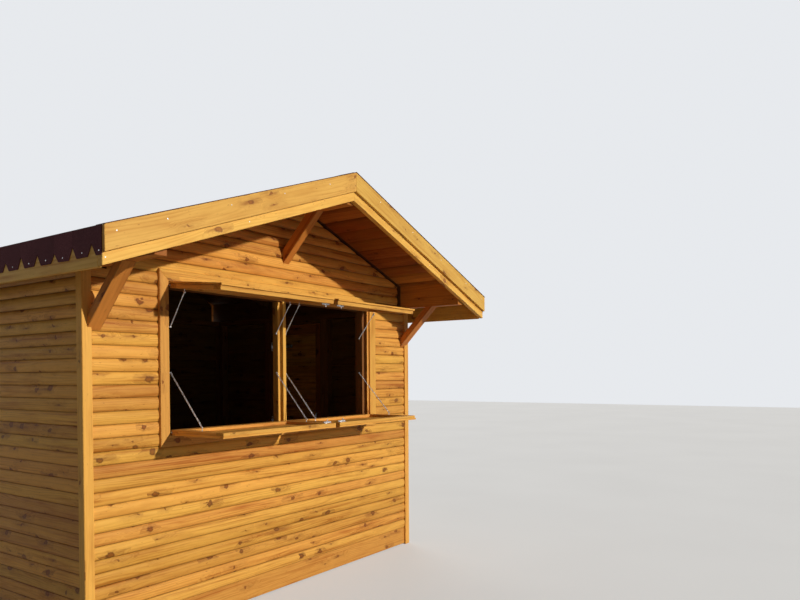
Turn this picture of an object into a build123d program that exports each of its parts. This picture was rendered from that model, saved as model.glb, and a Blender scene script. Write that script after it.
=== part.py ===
"""Wooden market hut with a folding serving hatch, a side door and a shingled gable roof.

Millimetres. +X runs to the right along the front, +Y runs from front to back, +Z is up.
The origin is on the ground, at the centre of the rectangle that the four corner posts enclose.
"""

import os
from math import cos, radians, sin, tan

from build123d import *

os.makedirs("parts", exist_ok=True)

# Walls in plan
front_width = 3000.0
side_depth = 2450.0
post_size = 56.0
siding_setback = 13.0
siding_thick = 22.0
stud_depth = 70.0
stud_width = 45.0

# Floor and plinth
bearer_height = 70.0
bearer_width = 70.0
bearer_count = 5
deck_thick = 20.0
plinth_top = 148.0
plinth_gap = 8.0
plinth_thick = 20.0

# Roof
roof_pitch_deg = 20.1
roof_apex = 2782.0
roof_half_width = 1753.0
front_overhang = 622.0
rear_overhang = 200.0
shingle_thick = 8.0
roof_board_thick = 20.0
barge_thick = 20.0
barge_height = 120.0
rafter_thick = 36.0
rafter_height = 148.0
inner_rafter_height = 90.0
inner_rafter_spacing = 800.0
ridge_beam_height = 169.0
eave_beam_height = 161.0
beam_width = 70.0
beam_slot = 45.0
fascia_thick = 20.0
fascia_height = 152.0
ridge_cap_width = 125.0
ridge_cap_thick = 3.0

# Hanging tongues along the eaves
tongue_pitch = 156.0
tongue_bottom_width = 88.0
tongue_band_height = 62.5
tongue_length = 68.0
tongue_thick = 4.0

# Roof brackets
bracket_width = 56.0
bracket_depth = 70.0
bracket_reach = 330.0

# Serving hatch, clear size between the inner edges of its casing
hatch_half_width = 955.0
hatch_bottom = 1136.0
hatch_below_beam = 24.0
casing_width = 65.0
casing_thick = 18.0
lining_step = 23.0
casing_lip_thick = 5.0
stop_step = 52.0
mullion_width = 78.0
mullion_depth = 51.0
batten_width = 30.0
batten_depth = 26.0

# Flaps
flap_gap = 22.0
flap_side_clearance = 7.0
flap_meeting_gap = 5.0
flap_skin_thick = 12.0
flap_frame_thick = 20.0
flap_rail_width = 60.0
flap_frame_inset = 23.0
upper_flap_droop_deg = 5.7

# Flap ironwork
stay_radius = 3.5
stay_anchor_drop = 274.0
stay_anchor_depth = 65.0
stay_reach = 112.0
chain_radius = 2.5
chain_anchor_rise = 364.0
chain_reach = 232.0
eye_length = 12.0
eye_radius = 6.0
bolt_length = 60.0
bolt_plate_width = 26.0
bolt_plate_thick = 2.0
bolt_rod_radius = 4.5
bolt_edge_distance = 45.0
bolt_front_distance = 34.0
hinge_length = 60.0
hinge_plate_width = 26.0
hinge_plate_thick = 2.0
hinge_knuckle_radius = 5.0
hinge_end_distance = 55.0

# Side door
door_centre = 33.0
door_width = 647.0
door_below_beam = 75.0
door_clearance = 8.0
door_floor_clearance = 8.0
door_skin_thick = 22.0
door_frame_thick = 20.0
door_rail_width = 90.0
door_stop_clearance = 5.0
door_casing_lap = 15.0
door_hinge_rise = 300.0
door_hinge_drop = 210.0
strap_length = 240.0
strap_height = 30.0
strap_thick = 3.0
knuckle_radius = 6.0
pin_radius = 3.0
pin_clearance = 0.3
knuckle_gap = 1.0
knuckle_bite = 1.0
outer_knuckle_height = 29.0
handle_height = 1050.0
handle_length = 150.0
handle_standoff = 34.0
handle_radius = 6.0
handle_edge_distance = 62.0


def front_y(distance):
    """Depth coordinate at a distance behind the front face of the corner posts."""
    return distance - half_depth


def back_y(distance):
    """Depth coordinate at a distance inside the back face of the corner posts."""
    return half_depth - distance


def side_x(distance):
    """Distance from the middle of the hut to a plane inside the side face of the posts."""
    return half_width - distance


def roof_height(x, drop=0.0):
    """Height of the roof's slope at x, a vertical distance below its finished top."""
    return roof_apex - slope * abs(x) - drop


# Derived places
half_width = front_width / 2
half_depth = side_depth / 2
slope = tan(radians(roof_pitch_deg))
cos_pitch = cos(radians(roof_pitch_deg))
siding_inner = siding_setback + siding_thick
wall_depth = siding_inner + stud_depth
deck_top = bearer_height + deck_thick
shingle_drop = shingle_thick / cos_pitch
deck_drop = shingle_drop + roof_board_thick / cos_pitch
roof_front = -half_depth - front_overhang
roof_back = half_depth + rear_overhang
rafter_front = roof_front + barge_thick
rafter_back = roof_back - barge_thick
beam_front = rafter_front + rafter_thick
beam_back = rafter_back - rafter_thick
post_inner_x = half_width - post_size
post_inner_y = half_depth - post_size
beam_outer_x = half_width - siding_inner
beam_inner_x = beam_outer_x - beam_width
gable_end_x = beam_inner_x - beam_slot
ridge_beam_half = beam_width / 2
beam_underside = roof_height(beam_outer_x, deck_drop) - eave_beam_height
ridge_beam_underside = roof_height(0, deck_drop) - ridge_beam_height
hatch_top = beam_underside - hatch_below_beam
casing_front = siding_setback - casing_thick
door_head = beam_underside - door_below_beam
door_near = door_centre - door_width / 2
door_far = door_centre + door_width / 2


def rectangle(low_u, high_u, low_v, high_v):
    """Corners of a rectangle in a panel's own two directions."""
    return [(low_u, low_v), (high_u, low_v), (high_u, high_v), (low_u, high_v)]


def front_panel(points, y_low, y_high, mode=Mode.ADD):
    """Board with an outline in x and z, between two depths."""
    with BuildSketch(Plane.XZ.offset(-y_high)) as outline:
        with BuildLine():
            Polyline(*points, close=True)
        make_face()
    extrude(outline.sketch, amount=y_high - y_low, mode=mode)


def side_panel(points, x_low, x_high, mode=Mode.ADD):
    """Board with an outline in y and z, between two widths."""
    with BuildSketch(Plane.YZ.offset(x_low)) as outline:
        with BuildLine():
            Polyline(*points, close=True)
        make_face()
    extrude(outline.sketch, amount=x_high - x_low, mode=mode)


def plan_panel(points, z_low, z_high, mode=Mode.ADD):
    """Board with an outline in x and y, between two heights."""
    with BuildSketch(Plane.XY.offset(z_low)) as outline:
        with BuildLine():
            Polyline(*points, close=True)
        make_face()
    extrude(outline.sketch, amount=z_high - z_low, mode=mode)


def rod(start, end, radius):
    """Straight round bar between two points."""
    direction = Vector(*end) - Vector(*start)
    with BuildSketch(Plane(origin=start, z_dir=direction)) as section:
        Circle(radius)
    extrude(section.sketch, amount=direction.length)


def save(piece, node):
    """Label a finished piece and write it to its own file."""
    piece.part.label = node
    export_step(piece.part, f"parts/{node}.step")


# Floor: bearers on the ground, deck on the bearers, notched round the posts
with BuildPart() as floor_bearers:
    first_bearer = half_depth - siding_inner - bearer_width / 2
    bearer_step = 2 * first_bearer / (bearer_count - 1)
    for index in range(bearer_count):
        y = index * bearer_step - first_bearer
        end_x = beam_outer_x if abs(y) < post_inner_y - bearer_width / 2 else post_inner_x
        plan_panel(rectangle(-end_x, end_x, y - bearer_width / 2, y + bearer_width / 2), 0, bearer_height)
save(floor_bearers, "floor_bearers")

with BuildPart() as floor_deck:
    deck_y = half_depth - siding_inner
    plan_panel(rectangle(-beam_outer_x, beam_outer_x, -deck_y, deck_y), bearer_height, deck_top)
    for side in (-1, 1):
        for end in (-1, 1):
            notch_x = sorted((side * post_inner_x, side * half_width))
            notch_y = sorted((end * post_inner_y, end * half_depth))
            plan_panel(rectangle(*notch_x, *notch_y), bearer_height, deck_top, Mode.SUBTRACT)
save(floor_deck, "floor_deck")

# Corner posts, up to the underside of the eave beams
with BuildPart() as corner_posts:
    for side in (-1, 1):
        for end in (-1, 1):
            post_x = sorted((side * post_inner_x, side * half_width))
            post_y = sorted((end * post_inner_y, end * half_depth))
            plan_panel(rectangle(*post_x, *post_y), 0, beam_underside)
save(corner_posts, "corner_posts")

# Plinth boards at the foot of each wall, the right one lower under the door
plinth_face = siding_inner - plinth_thick
plinth_end = rectangle(-post_inner_x, post_inner_x, plinth_gap, plinth_top)
plinth_side = rectangle(-post_inner_y, post_inner_y, plinth_gap, plinth_top)
plinth_under_door = [
    (-post_inner_y, plinth_gap),
    (post_inner_y, plinth_gap),
    (post_inner_y, plinth_top),
    (door_far, plinth_top),
    (door_far, deck_top),
    (door_near, deck_top),
    (door_near, plinth_top),
    (-post_inner_y, plinth_top),
]
with BuildPart() as plinth_boards:
    front_panel(plinth_end, front_y(plinth_face), front_y(siding_inner))
    front_panel(plinth_end, back_y(siding_inner), back_y(plinth_face))
    side_panel(plinth_side, -side_x(plinth_face), -side_x(siding_inner))
    side_panel(plinth_under_door, side_x(siding_inner), side_x(plinth_face))
save(plinth_boards, "plinth_boards")

# Front wall: boards below, beside and above the hatch
siding_hatch_half = hatch_half_width - lining_step
siding_hatch_low = hatch_bottom + lining_step
siding_hatch_high = hatch_top - lining_step
front_low = front_y(siding_setback)
front_high = front_y(siding_inner)

with BuildPart() as front_wall_lower:
    front_panel(rectangle(-post_inner_x, post_inner_x, plinth_top, siding_hatch_low), front_low, front_high)
save(front_wall_lower, "front_wall_lower")

with BuildPart() as front_wall_sides:
    for side in (-1, 1):
        beside_x = sorted((side * siding_hatch_half, side * post_inner_x))
        front_panel(rectangle(*beside_x, siding_hatch_low, siding_hatch_high), front_low, front_high)
save(front_wall_sides, "front_wall_sides")


def gable_outline(base):
    """Outline of a gable wall above a base height, stopping short of the eave and ridge beams."""
    right_side = [
        (post_inner_x, base),
        (post_inner_x, beam_underside),
        (gable_end_x, beam_underside),
        (gable_end_x, roof_height(gable_end_x, deck_drop)),
        (ridge_beam_half, roof_height(ridge_beam_half, deck_drop)),
        (ridge_beam_half, ridge_beam_underside),
    ]
    left_side = [(-x, z) for x, z in reversed(right_side)]
    return right_side + left_side


with BuildPart() as front_wall_gable:
    front_panel(gable_outline(siding_hatch_high), front_low, front_high)
save(front_wall_gable, "front_wall_gable")

with BuildPart() as back_wall:
    front_panel(gable_outline(plinth_top), back_y(siding_inner), back_y(siding_setback))
save(back_wall, "back_wall")

# Side walls: boards up to the roof, wider over the posts
siding_top = roof_height(side_x(siding_setback), deck_drop)
with BuildPart() as left_wall:
    left_outline = [
        (-post_inner_y, plinth_top),
        (post_inner_y, plinth_top),
        (post_inner_y, beam_underside),
        (half_depth, beam_underside),
        (half_depth, siding_top),
        (-half_depth, siding_top),
        (-half_depth, beam_underside),
        (-post_inner_y, beam_underside),
    ]
    side_panel(left_outline, -side_x(siding_setback), -side_x(siding_inner))
save(left_wall, "left_wall")


def wall_beside_door(end, door_edge):
    """Outline of the right wall between the door and a corner, wider over the post."""
    return [
        (door_edge, plinth_top),
        (end * post_inner_y, plinth_top),
        (end * post_inner_y, beam_underside),
        (end * half_depth, beam_underside),
        (end * half_depth, siding_top),
        (door_edge, siding_top),
    ]


with BuildPart() as right_wall_front:
    side_panel(wall_beside_door(-1, door_near), side_x(siding_inner), side_x(siding_setback))
save(right_wall_front, "right_wall_front")

with BuildPart() as right_wall_back:
    side_panel(wall_beside_door(1, door_far), side_x(siding_inner), side_x(siding_setback))
save(right_wall_back, "right_wall_back")

with BuildPart() as right_wall_over_door:
    over_door = rectangle(door_near, door_far, door_head, siding_top)
    side_panel(over_door, side_x(siding_inner), side_x(siding_setback))
save(right_wall_over_door, "right_wall_over_door")

# Wall frames of studs and rails behind the boards, standing on the deck
frame_top = beam_underside
clear_half = hatch_half_width - stop_step
clear_low = hatch_bottom + stop_step
clear_high = hatch_top - stop_step
side_frame_y = half_depth - wall_depth
stud_low = deck_top + stud_width
stud_high = frame_top - stud_width


def upright(centre, low, high, depth_low, depth_high, across):
    """Stud of a wall frame, centred along the wall."""
    outline = rectangle(centre - stud_width / 2, centre + stud_width / 2, low, high)
    across(outline, depth_low, depth_high)


with BuildPart() as front_frame:
    frame_low = front_y(siding_inner)
    frame_high = front_y(wall_depth)
    front_panel(rectangle(-post_inner_x, post_inner_x, deck_top, stud_low), frame_low, frame_high)
    front_panel(rectangle(-post_inner_x, post_inner_x, stud_high, frame_top), frame_low, frame_high)
    for side in (-1, 1):
        for reach in (post_inner_x - stud_width / 2, clear_half + stud_width / 2):
            upright(side * reach, stud_low, stud_high, frame_low, frame_high, front_panel)
        upright(side * clear_half / 2, stud_low, clear_low - stud_width, frame_low, frame_high, front_panel)
    front_panel(rectangle(-clear_half, clear_half, clear_low - stud_width, clear_low), frame_low, frame_high)
    front_panel(rectangle(-clear_half, clear_half, clear_high, stud_high), frame_low, frame_high)
save(front_frame, "front_frame")

with BuildPart() as back_frame:
    frame_low = back_y(wall_depth)
    frame_high = back_y(siding_inner)
    front_panel(rectangle(-post_inner_x, post_inner_x, deck_top, stud_low), frame_low, frame_high)
    front_panel(rectangle(-post_inner_x, post_inner_x, stud_high, frame_top), frame_low, frame_high)
    back_stud_reach = post_inner_x - stud_width / 2
    for share in (-1, -0.5, 0, 0.5, 1):
        upright(share * back_stud_reach, stud_low, stud_high, frame_low, frame_high, front_panel)
save(back_frame, "back_frame")

with BuildPart() as left_frame:
    side_panel(rectangle(-side_frame_y, side_frame_y, deck_top, stud_low), -beam_outer_x, -beam_inner_x)
    side_panel(rectangle(-side_frame_y, side_frame_y, stud_high, frame_top), -beam_outer_x, -beam_inner_x)
    side_stud_reach = side_frame_y - stud_width / 2
    for share in (-1, -0.33, 0.33, 1):
        upright(share * side_stud_reach, stud_low, stud_high, -beam_outer_x, -beam_inner_x, side_panel)
save(left_frame, "left_frame")

with BuildPart() as right_frame:
    for edge, end in ((door_near, -1), (door_far, 1)):
        sole = sorted((edge, end * side_frame_y))
        side_panel(rectangle(*sole, deck_top, stud_low), beam_inner_x, beam_outer_x)
        upright(end * side_stud_reach, stud_low, stud_high, beam_inner_x, beam_outer_x, side_panel)
        upright(edge + end * stud_width / 2, stud_low, stud_high, beam_inner_x, beam_outer_x, side_panel)
        upright(edge + end * stud_width * 1.5, stud_low, stud_high, beam_inner_x, beam_outer_x, side_panel)
    side_panel(rectangle(-side_frame_y, side_frame_y, stud_high, frame_top), beam_inner_x, beam_outer_x)
    side_panel(rectangle(door_near, door_far, door_head, stud_high), beam_inner_x, beam_outer_x)
save(right_frame, "right_frame")


def mitred_boards(inner_half, low, high, width):
    """Outlines of four boards that meet in mitres round a rectangle."""
    outer_half = inner_half + width
    outer_low = low - width
    outer_high = high + width
    return [
        [(-outer_half, outer_low), (outer_half, outer_low), (inner_half, low), (-inner_half, low)],
        [(outer_half, outer_low), (outer_half, outer_high), (inner_half, high), (inner_half, low)],
        [(outer_half, outer_high), (-outer_half, outer_high), (-inner_half, high), (inner_half, high)],
        [(-outer_half, outer_high), (-outer_half, outer_low), (-inner_half, low), (-inner_half, high)],
    ]


# Hatch casing: four mitred boards, each with a thinner lip that the flap's board skin closes against
with BuildPart() as hatch_casing:
    for outline in mitred_boards(hatch_half_width, hatch_bottom, hatch_top, casing_width):
        front_panel(outline, front_y(casing_front), front_y(siding_setback))
    lip_half = hatch_half_width - lining_step
    for outline in mitred_boards(lip_half, siding_hatch_low, siding_hatch_high, lining_step):
        front_panel(outline, front_y(siding_setback - casing_lip_thick), front_y(siding_setback))
save(hatch_casing, "hatch_casing")

# Mullion: a stud between the sill and the head, with a narrower batten on its front
with BuildPart() as hatch_mullion:
    mullion_back = front_y(wall_depth)
    mullion_front = mullion_back - mullion_depth
    mullion_outline = rectangle(-mullion_width / 2, mullion_width / 2, clear_low, clear_high)
    front_panel(mullion_outline, mullion_front, mullion_back)
    batten_outline = rectangle(-batten_width / 2, batten_width / 2, clear_low, clear_high)
    front_panel(batten_outline, mullion_front - batten_depth, mullion_front)
save(hatch_mullion, "hatch_mullion")

# Flaps: a board skin on the weather side, a frame of rails on the inner side
flap_near = flap_gap / 2
flap_far = hatch_half_width - flap_side_clearance
flap_length = (hatch_top - hatch_bottom - flap_meeting_gap) / 2
flap_thick = flap_skin_thick + flap_frame_thick
hinge_y = front_y(casing_front)


def flap(plane, side):
    """Flap on a plane through its hinge line, reaching along the plane's negative second direction."""
    edges = sorted((side * flap_near, side * flap_far))
    frame_edges = sorted((side * flap_near, side * (flap_far - flap_frame_inset)))
    with BuildSketch(plane) as skin:
        with BuildLine():
            Polyline(*rectangle(*edges, -flap_length, 0), close=True)
        make_face()
    extrude(skin.sketch, amount=-flap_skin_thick)
    with BuildSketch(plane.offset(-flap_skin_thick)) as frame:
        with BuildLine():
            Polyline(*rectangle(*frame_edges, -flap_length, 0), close=True)
        make_face()
        with BuildLine():
            recess_edges = (frame_edges[0] + flap_rail_width, frame_edges[1] - flap_rail_width)
            Polyline(*rectangle(*recess_edges, flap_rail_width - flap_length, -flap_rail_width), close=True)
        make_face(mode=Mode.SUBTRACT)
    extrude(frame.sketch, amount=-flap_frame_thick)


droop = radians(upper_flap_droop_deg)
upper_plane = Plane(origin=(0, hinge_y, hatch_top), x_dir=(1, 0, 0), z_dir=(0, -sin(droop), cos(droop)))
lower_plane = Plane(origin=(0, hinge_y, hatch_bottom), x_dir=(-1, 0, 0), z_dir=(0, 0, -1))

for side, side_name in ((-1, "left"), (1, "right")):
    with BuildPart() as upper_flap:
        flap(upper_plane, side)
    save(upper_flap, f"upper_flap_{side_name}")
    with BuildPart() as lower_flap:
        flap(lower_plane, -side)
    save(lower_flap, f"lower_flap_{side_name}")


def on_flap(plane, x, along, below):
    """Point at x, a distance along a flap from its hinge line and a depth below its weather face."""
    across = x * plane.x_dir.X
    return plane.origin + plane.x_dir * across - plane.y_dir * along - plane.z_dir * below


def tie(anchor_height, plane, reach, radius, x):
    """Straight rod or chain from an eye on the frame to an eye on a flap's inner face."""
    frame_eye = Vector(x, front_y(stay_anchor_depth), anchor_height)
    flap_eye = on_flap(plane, x, reach, flap_thick + eye_radius)
    rod(frame_eye, flap_eye, radius)
    half_eye = Vector(eye_length / 2, 0, 0)
    rod(frame_eye - half_eye, frame_eye + half_eye, eye_radius)
    rod(flap_eye - half_eye, flap_eye + half_eye, eye_radius)


tie_x = (clear_half - eye_length / 2, mullion_width / 2 + eye_length / 2)
with BuildPart() as flap_stays:
    for x in tie_x:
        for side in (-1, 1):
            tie(hatch_top - stay_anchor_drop, upper_plane, stay_reach, stay_radius, side * x)
save(flap_stays, "flap_stays")

with BuildPart() as flap_chains:
    for x in tie_x:
        for side in (-1, 1):
            tie(hatch_bottom + chain_anchor_rise, lower_plane, chain_reach, chain_radius, side * x)
save(flap_chains, "flap_chains")

def flat_plate(plane, centre, length, width, thick):
    """Thin plate lying along a flap, about its own middle point."""
    with BuildSketch(Plane(origin=centre, x_dir=plane.x_dir, z_dir=plane.z_dir)) as plate:
        Rectangle(length, width)
    extrude(plate.sketch, amount=thick / 2, both=True)


# Barrel bolts on the inner faces, near the meeting corners
with BuildPart() as flap_bolts:
    for plane in (upper_plane, lower_plane):
        for side in (-1, 1):
            bolt_x = side * (flap_near + bolt_edge_distance)
            bolt_low = bolt_x - bolt_length / 2
            bolt_along = flap_length - bolt_front_distance
            plate_centre = on_flap(plane, bolt_x, bolt_along, flap_thick + bolt_plate_thick / 2)
            flat_plate(plane, plate_centre, bolt_length, bolt_plate_width, bolt_plate_thick)
            rod_depth = flap_thick + bolt_plate_thick + bolt_rod_radius * 0.8
            rod(
                on_flap(plane, bolt_low, bolt_along, rod_depth),
                on_flap(plane, bolt_low + bolt_length, bolt_along, rod_depth),
                bolt_rod_radius,
            )
save(flap_bolts, "flap_bolts")


def flap_hinge(plane, x, upward):
    """Small butt hinge: a knuckle in the corner between casing and flap, with a plate on each."""
    knuckle_y = hinge_y - hinge_knuckle_radius
    knuckle_z = plane.origin.Z + upward * hinge_knuckle_radius
    half_length = hinge_length / 2
    knuckle = Vector(x, knuckle_y, knuckle_z)
    half_knuckle = Vector(half_length, 0, 0)
    rod(knuckle - half_knuckle, knuckle + half_knuckle, hinge_knuckle_radius)
    plate_start = hinge_knuckle_radius / 2
    plate_z = sorted((plane.origin.Z + upward * plate_start, plane.origin.Z + upward * hinge_plate_width))
    casing_plate = rectangle(x - half_length, x + half_length, *plate_z)
    front_panel(casing_plate, hinge_y - hinge_plate_thick, hinge_y)
    plate_middle = on_flap(plane, x, (hinge_plate_width + plate_start) / 2, -hinge_plate_thick / 2)
    flat_plate(plane, plate_middle, hinge_length, hinge_plate_width - plate_start, hinge_plate_thick)


with BuildPart() as flap_hinges:
    for side in (-1, 1):
        for x in (flap_near + hinge_end_distance, flap_far - hinge_end_distance):
            flap_hinge(upper_plane, side * x, 1)
            flap_hinge(lower_plane, side * x, -1)
save(flap_hinges, "flap_hinges")

# Side door: a board skin on a rail frame, hung to open inwards at its far edge
door_outer_x = side_x(siding_setback) - door_stop_clearance
door_frame_x = door_outer_x - door_skin_thick
door_inner_x = door_frame_x - door_frame_thick
leaf_near = door_near + door_clearance
leaf_far = door_far - door_clearance
leaf_low = deck_top + door_floor_clearance
leaf_high = door_head - door_clearance
pin_x = door_inner_x - knuckle_radius
pin_y = door_far - strap_thick - knuckle_radius + knuckle_bite

with BuildPart() as door_leaf:
    side_panel(rectangle(leaf_near, leaf_far, leaf_low, leaf_high), door_frame_x, door_outer_x)
    side_panel(rectangle(leaf_near, leaf_far, leaf_low, leaf_high), door_inner_x, door_frame_x)
    middle_rail = (leaf_low + leaf_high) / 2
    recess_low = (leaf_low + door_rail_width, middle_rail + door_rail_width / 2)
    recess_high = (middle_rail - door_rail_width / 2, leaf_high - door_rail_width)
    for low, high in zip(recess_low, recess_high):
        recess = rectangle(leaf_near + door_rail_width, leaf_far - door_rail_width, low, high)
        side_panel(recess, door_inner_x, door_frame_x, Mode.SUBTRACT)
save(door_leaf, "door_leaf")

# Door casing on the outside, lapping over the opening as the stop
with BuildPart() as door_casing:
    lap_near = door_near + door_casing_lap
    lap_far = door_far - door_casing_lap
    lap_head = door_head - door_casing_lap
    casing_outer_x = side_x(siding_setback) + casing_thick
    outer_near = lap_near - casing_width
    outer_far = lap_far + casing_width
    outer_head = lap_head + casing_width
    door_boards = (
        [(outer_near, plinth_top), (lap_near, plinth_top), (lap_near, lap_head), (outer_near, outer_head)],
        [(outer_near, outer_head), (lap_near, lap_head), (lap_far, lap_head), (outer_far, outer_head)],
        [(lap_far, plinth_top), (outer_far, plinth_top), (outer_far, outer_head), (lap_far, lap_head)],
    )
    for outline in door_boards:
        side_panel(outline, side_x(siding_setback), casing_outer_x)
save(door_casing, "door_casing")

# Door hinges: plate, pin and outer knuckles on the frame; strap and middle knuckle on the leaf
top_hinge = door_head - door_hinge_drop
door_hinge_heights = (door_hinge_rise, (door_hinge_rise + top_hinge) / 2, top_hinge)
outer_knuckle_low = strap_height / 2 + knuckle_gap
outer_knuckle_high = outer_knuckle_low + outer_knuckle_height
with BuildPart() as door_hinge_plates:
    for height in door_hinge_heights:
        plate_y = (door_far - strap_thick, door_far)
        plate = rectangle(beam_inner_x, pin_x - knuckle_radius - knuckle_gap, *plate_y)
        plan_panel(plate, height - outer_knuckle_high, height + outer_knuckle_high)
        plate_end = rectangle(pin_x - knuckle_radius - knuckle_gap, pin_x, *plate_y)
        for low in (-outer_knuckle_high, outer_knuckle_low):
            knuckle_low = height + low
            knuckle_high = knuckle_low + outer_knuckle_height
            plan_panel(plate_end, knuckle_low, knuckle_high)
            rod((pin_x, pin_y, knuckle_low), (pin_x, pin_y, knuckle_high), knuckle_radius)
        pin_low = height - outer_knuckle_high
        rod((pin_x, pin_y, pin_low), (pin_x, pin_y, pin_low + 2 * outer_knuckle_high), pin_radius)
save(door_hinge_plates, "door_hinge_plates")

with BuildPart() as door_straps:
    for height in door_hinge_heights:
        low = height - strap_height / 2
        high = height + strap_height / 2
        strap = rectangle(door_inner_x - strap_thick, door_inner_x, pin_y - strap_length, pin_y)
        plan_panel(strap, low, high)
        rod((pin_x, pin_y, low), (pin_x, pin_y, high), knuckle_radius)
        with BuildSketch(Plane(origin=(pin_x, pin_y, low))) as bore:
            Circle(pin_radius + pin_clearance)
        extrude(bore.sketch, amount=strap_height, mode=Mode.SUBTRACT)
save(door_straps, "door_straps")

# Door pulls, one on each face of the leaf
with BuildPart() as door_handles:
    handle_y = leaf_near + handle_edge_distance
    for face_x, outward in ((door_outer_x, 1), (door_inner_x, -1)):
        grip_x = face_x + outward * handle_standoff
        low = handle_height - handle_length / 2
        high = handle_height + handle_length / 2
        with BuildLine() as grip_line:
            FilletPolyline(
                (face_x, handle_y, low),
                (grip_x, handle_y, low),
                (grip_x, handle_y, high),
                (face_x, handle_y, high),
                radius=2 * handle_radius,
            )
        with BuildSketch(Plane(origin=(face_x, handle_y, low), z_dir=(outward, 0, 0))) as grip_section:
            Circle(handle_radius)
        sweep(grip_section.sketch, path=grip_line.line)
save(door_handles, "door_handles")

# Beams: one over each side wall and one at the ridge, all running out under the front overhang
with BuildPart() as eave_beams:
    for side in (-1, 1):
        beam_outline = [
            (side * beam_inner_x, beam_underside),
            (side * beam_outer_x, beam_underside),
            (side * beam_outer_x, roof_height(beam_outer_x, deck_drop)),
            (side * beam_inner_x, roof_height(beam_inner_x, deck_drop)),
        ]
        front_panel(beam_outline, beam_front, beam_back)
save(eave_beams, "eave_beams")

with BuildPart() as ridge_beam:
    ridge_outline = [
        (-ridge_beam_half, ridge_beam_underside),
        (ridge_beam_half, ridge_beam_underside),
        (ridge_beam_half, roof_height(ridge_beam_half, deck_drop)),
        (0, roof_height(0, deck_drop)),
        (-ridge_beam_half, roof_height(ridge_beam_half, deck_drop)),
    ]
    front_panel(ridge_outline, beam_front, beam_back)
save(ridge_beam, "ridge_beam")


def bracket_outline(head_height):
    """Outline of a diagonal bracket from the wall up to a beam's underside."""
    wall_y = front_y(siding_setback)
    diagonal = bracket_depth * 2 ** 0.5
    return [
        (wall_y, head_height - bracket_reach),
        (wall_y, head_height - bracket_reach + diagonal),
        (wall_y - bracket_reach + diagonal, head_height),
        (wall_y - bracket_reach, head_height),
    ]


with BuildPart() as roof_brackets:
    side_reach = post_inner_x - bracket_width / 2
    heads = ((-side_reach, beam_underside), (0, ridge_beam_underside), (side_reach, beam_underside))
    for centre, head in heads:
        side_panel(bracket_outline(head), centre - bracket_width / 2, centre + bracket_width / 2)
save(roof_brackets, "roof_brackets")


def roof_slope(side, inner_x, outer_x, top_drop, bottom_drop):
    """Outline of a sloping board between two distances from the ridge, cut plumb at both ends."""
    return [
        (side * inner_x, roof_height(inner_x, top_drop)),
        (side * outer_x, roof_height(outer_x, top_drop)),
        (side * outer_x, roof_height(outer_x, bottom_drop)),
        (side * inner_x, roof_height(inner_x, bottom_drop)),
    ]


# Rafters and bargeboards at both ends, light rafters between the beams inside
end_rafter_bottom = deck_drop + rafter_height
inner_rafter_bottom = deck_drop + inner_rafter_height
for side, side_name in ((-1, "left"), (1, "right")):
    with BuildPart() as rafters:
        end_rafter = roof_slope(side, 0, roof_half_width, deck_drop, end_rafter_bottom)
        front_panel(end_rafter, rafter_front, beam_front)
        front_panel(end_rafter, beam_back, rafter_back)
        inner_rafter = roof_slope(side, ridge_beam_half, beam_inner_x, deck_drop, inner_rafter_bottom)
        for place in (-0.5, 0.5):
            middle = place * inner_rafter_spacing
            front_panel(inner_rafter, middle - rafter_thick / 2, middle + rafter_thick / 2)
    save(rafters, f"rafters_{side_name}")
    with BuildPart() as bargeboards:
        bargeboard = roof_slope(side, 0, roof_half_width, 0, barge_height)
        front_panel(bargeboard, roof_front, rafter_front)
        front_panel(bargeboard, rafter_back, roof_back)
    save(bargeboards, f"bargeboards_{side_name}")

# Roof boards, shingles, fascias and the fringe of hanging tongues
fringe_length = rafter_back - rafter_front
tongue_count = round(fringe_length / tongue_pitch)
tongue_step = fringe_length / tongue_count


def fringe_outline():
    """Outline of the hanging fringe, a band above a row of tapered tongues with half a tongue at each end."""
    eave_height = roof_height(roof_half_width)
    root_height = eave_height - tongue_band_height
    tip_height = root_height - tongue_length
    taper = (tongue_step - tongue_bottom_width) / 2
    points = [(rafter_front, eave_height), (rafter_front, tip_height)]
    for index in range(tongue_count):
        notch = rafter_front + (index + 0.5) * tongue_step
        points.append((notch - taper, tip_height))
        points.append((notch, root_height))
        points.append((notch + taper, tip_height))
    points.append((rafter_back, tip_height))
    points.append((rafter_back, eave_height))
    return points


for side, side_name in ((-1, "left"), (1, "right")):
    with BuildPart() as roof_boards:
        front_panel(roof_slope(side, 0, roof_half_width, shingle_drop, deck_drop), rafter_front, rafter_back)
    save(roof_boards, f"roof_boards_{side_name}")
    with BuildPart() as shingles:
        front_panel(roof_slope(side, 0, roof_half_width, 0, shingle_drop), rafter_front, rafter_back)
    save(shingles, f"shingles_{side_name}")

fascia_inner = roof_half_width - fascia_thick
fascia_bottom = roof_height(roof_half_width, deck_drop) - fascia_height
with BuildPart() as eave_fascias:
    for side in (-1, 1):
        fascia_outline = [
            (side * fascia_inner, fascia_bottom),
            (side * roof_half_width, fascia_bottom),
            (side * roof_half_width, roof_height(roof_half_width, deck_drop)),
            (side * fascia_inner, roof_height(fascia_inner, deck_drop)),
        ]
        front_panel(fascia_outline, beam_front, beam_back)
save(eave_fascias, "eave_fascias")

with BuildPart() as eave_fringes:
    for side in (-1, 1):
        fringe_x = sorted((side * roof_half_width, side * (roof_half_width + tongue_thick)))
        side_panel(fringe_outline(), *fringe_x)
save(eave_fringes, "eave_fringes")

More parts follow.
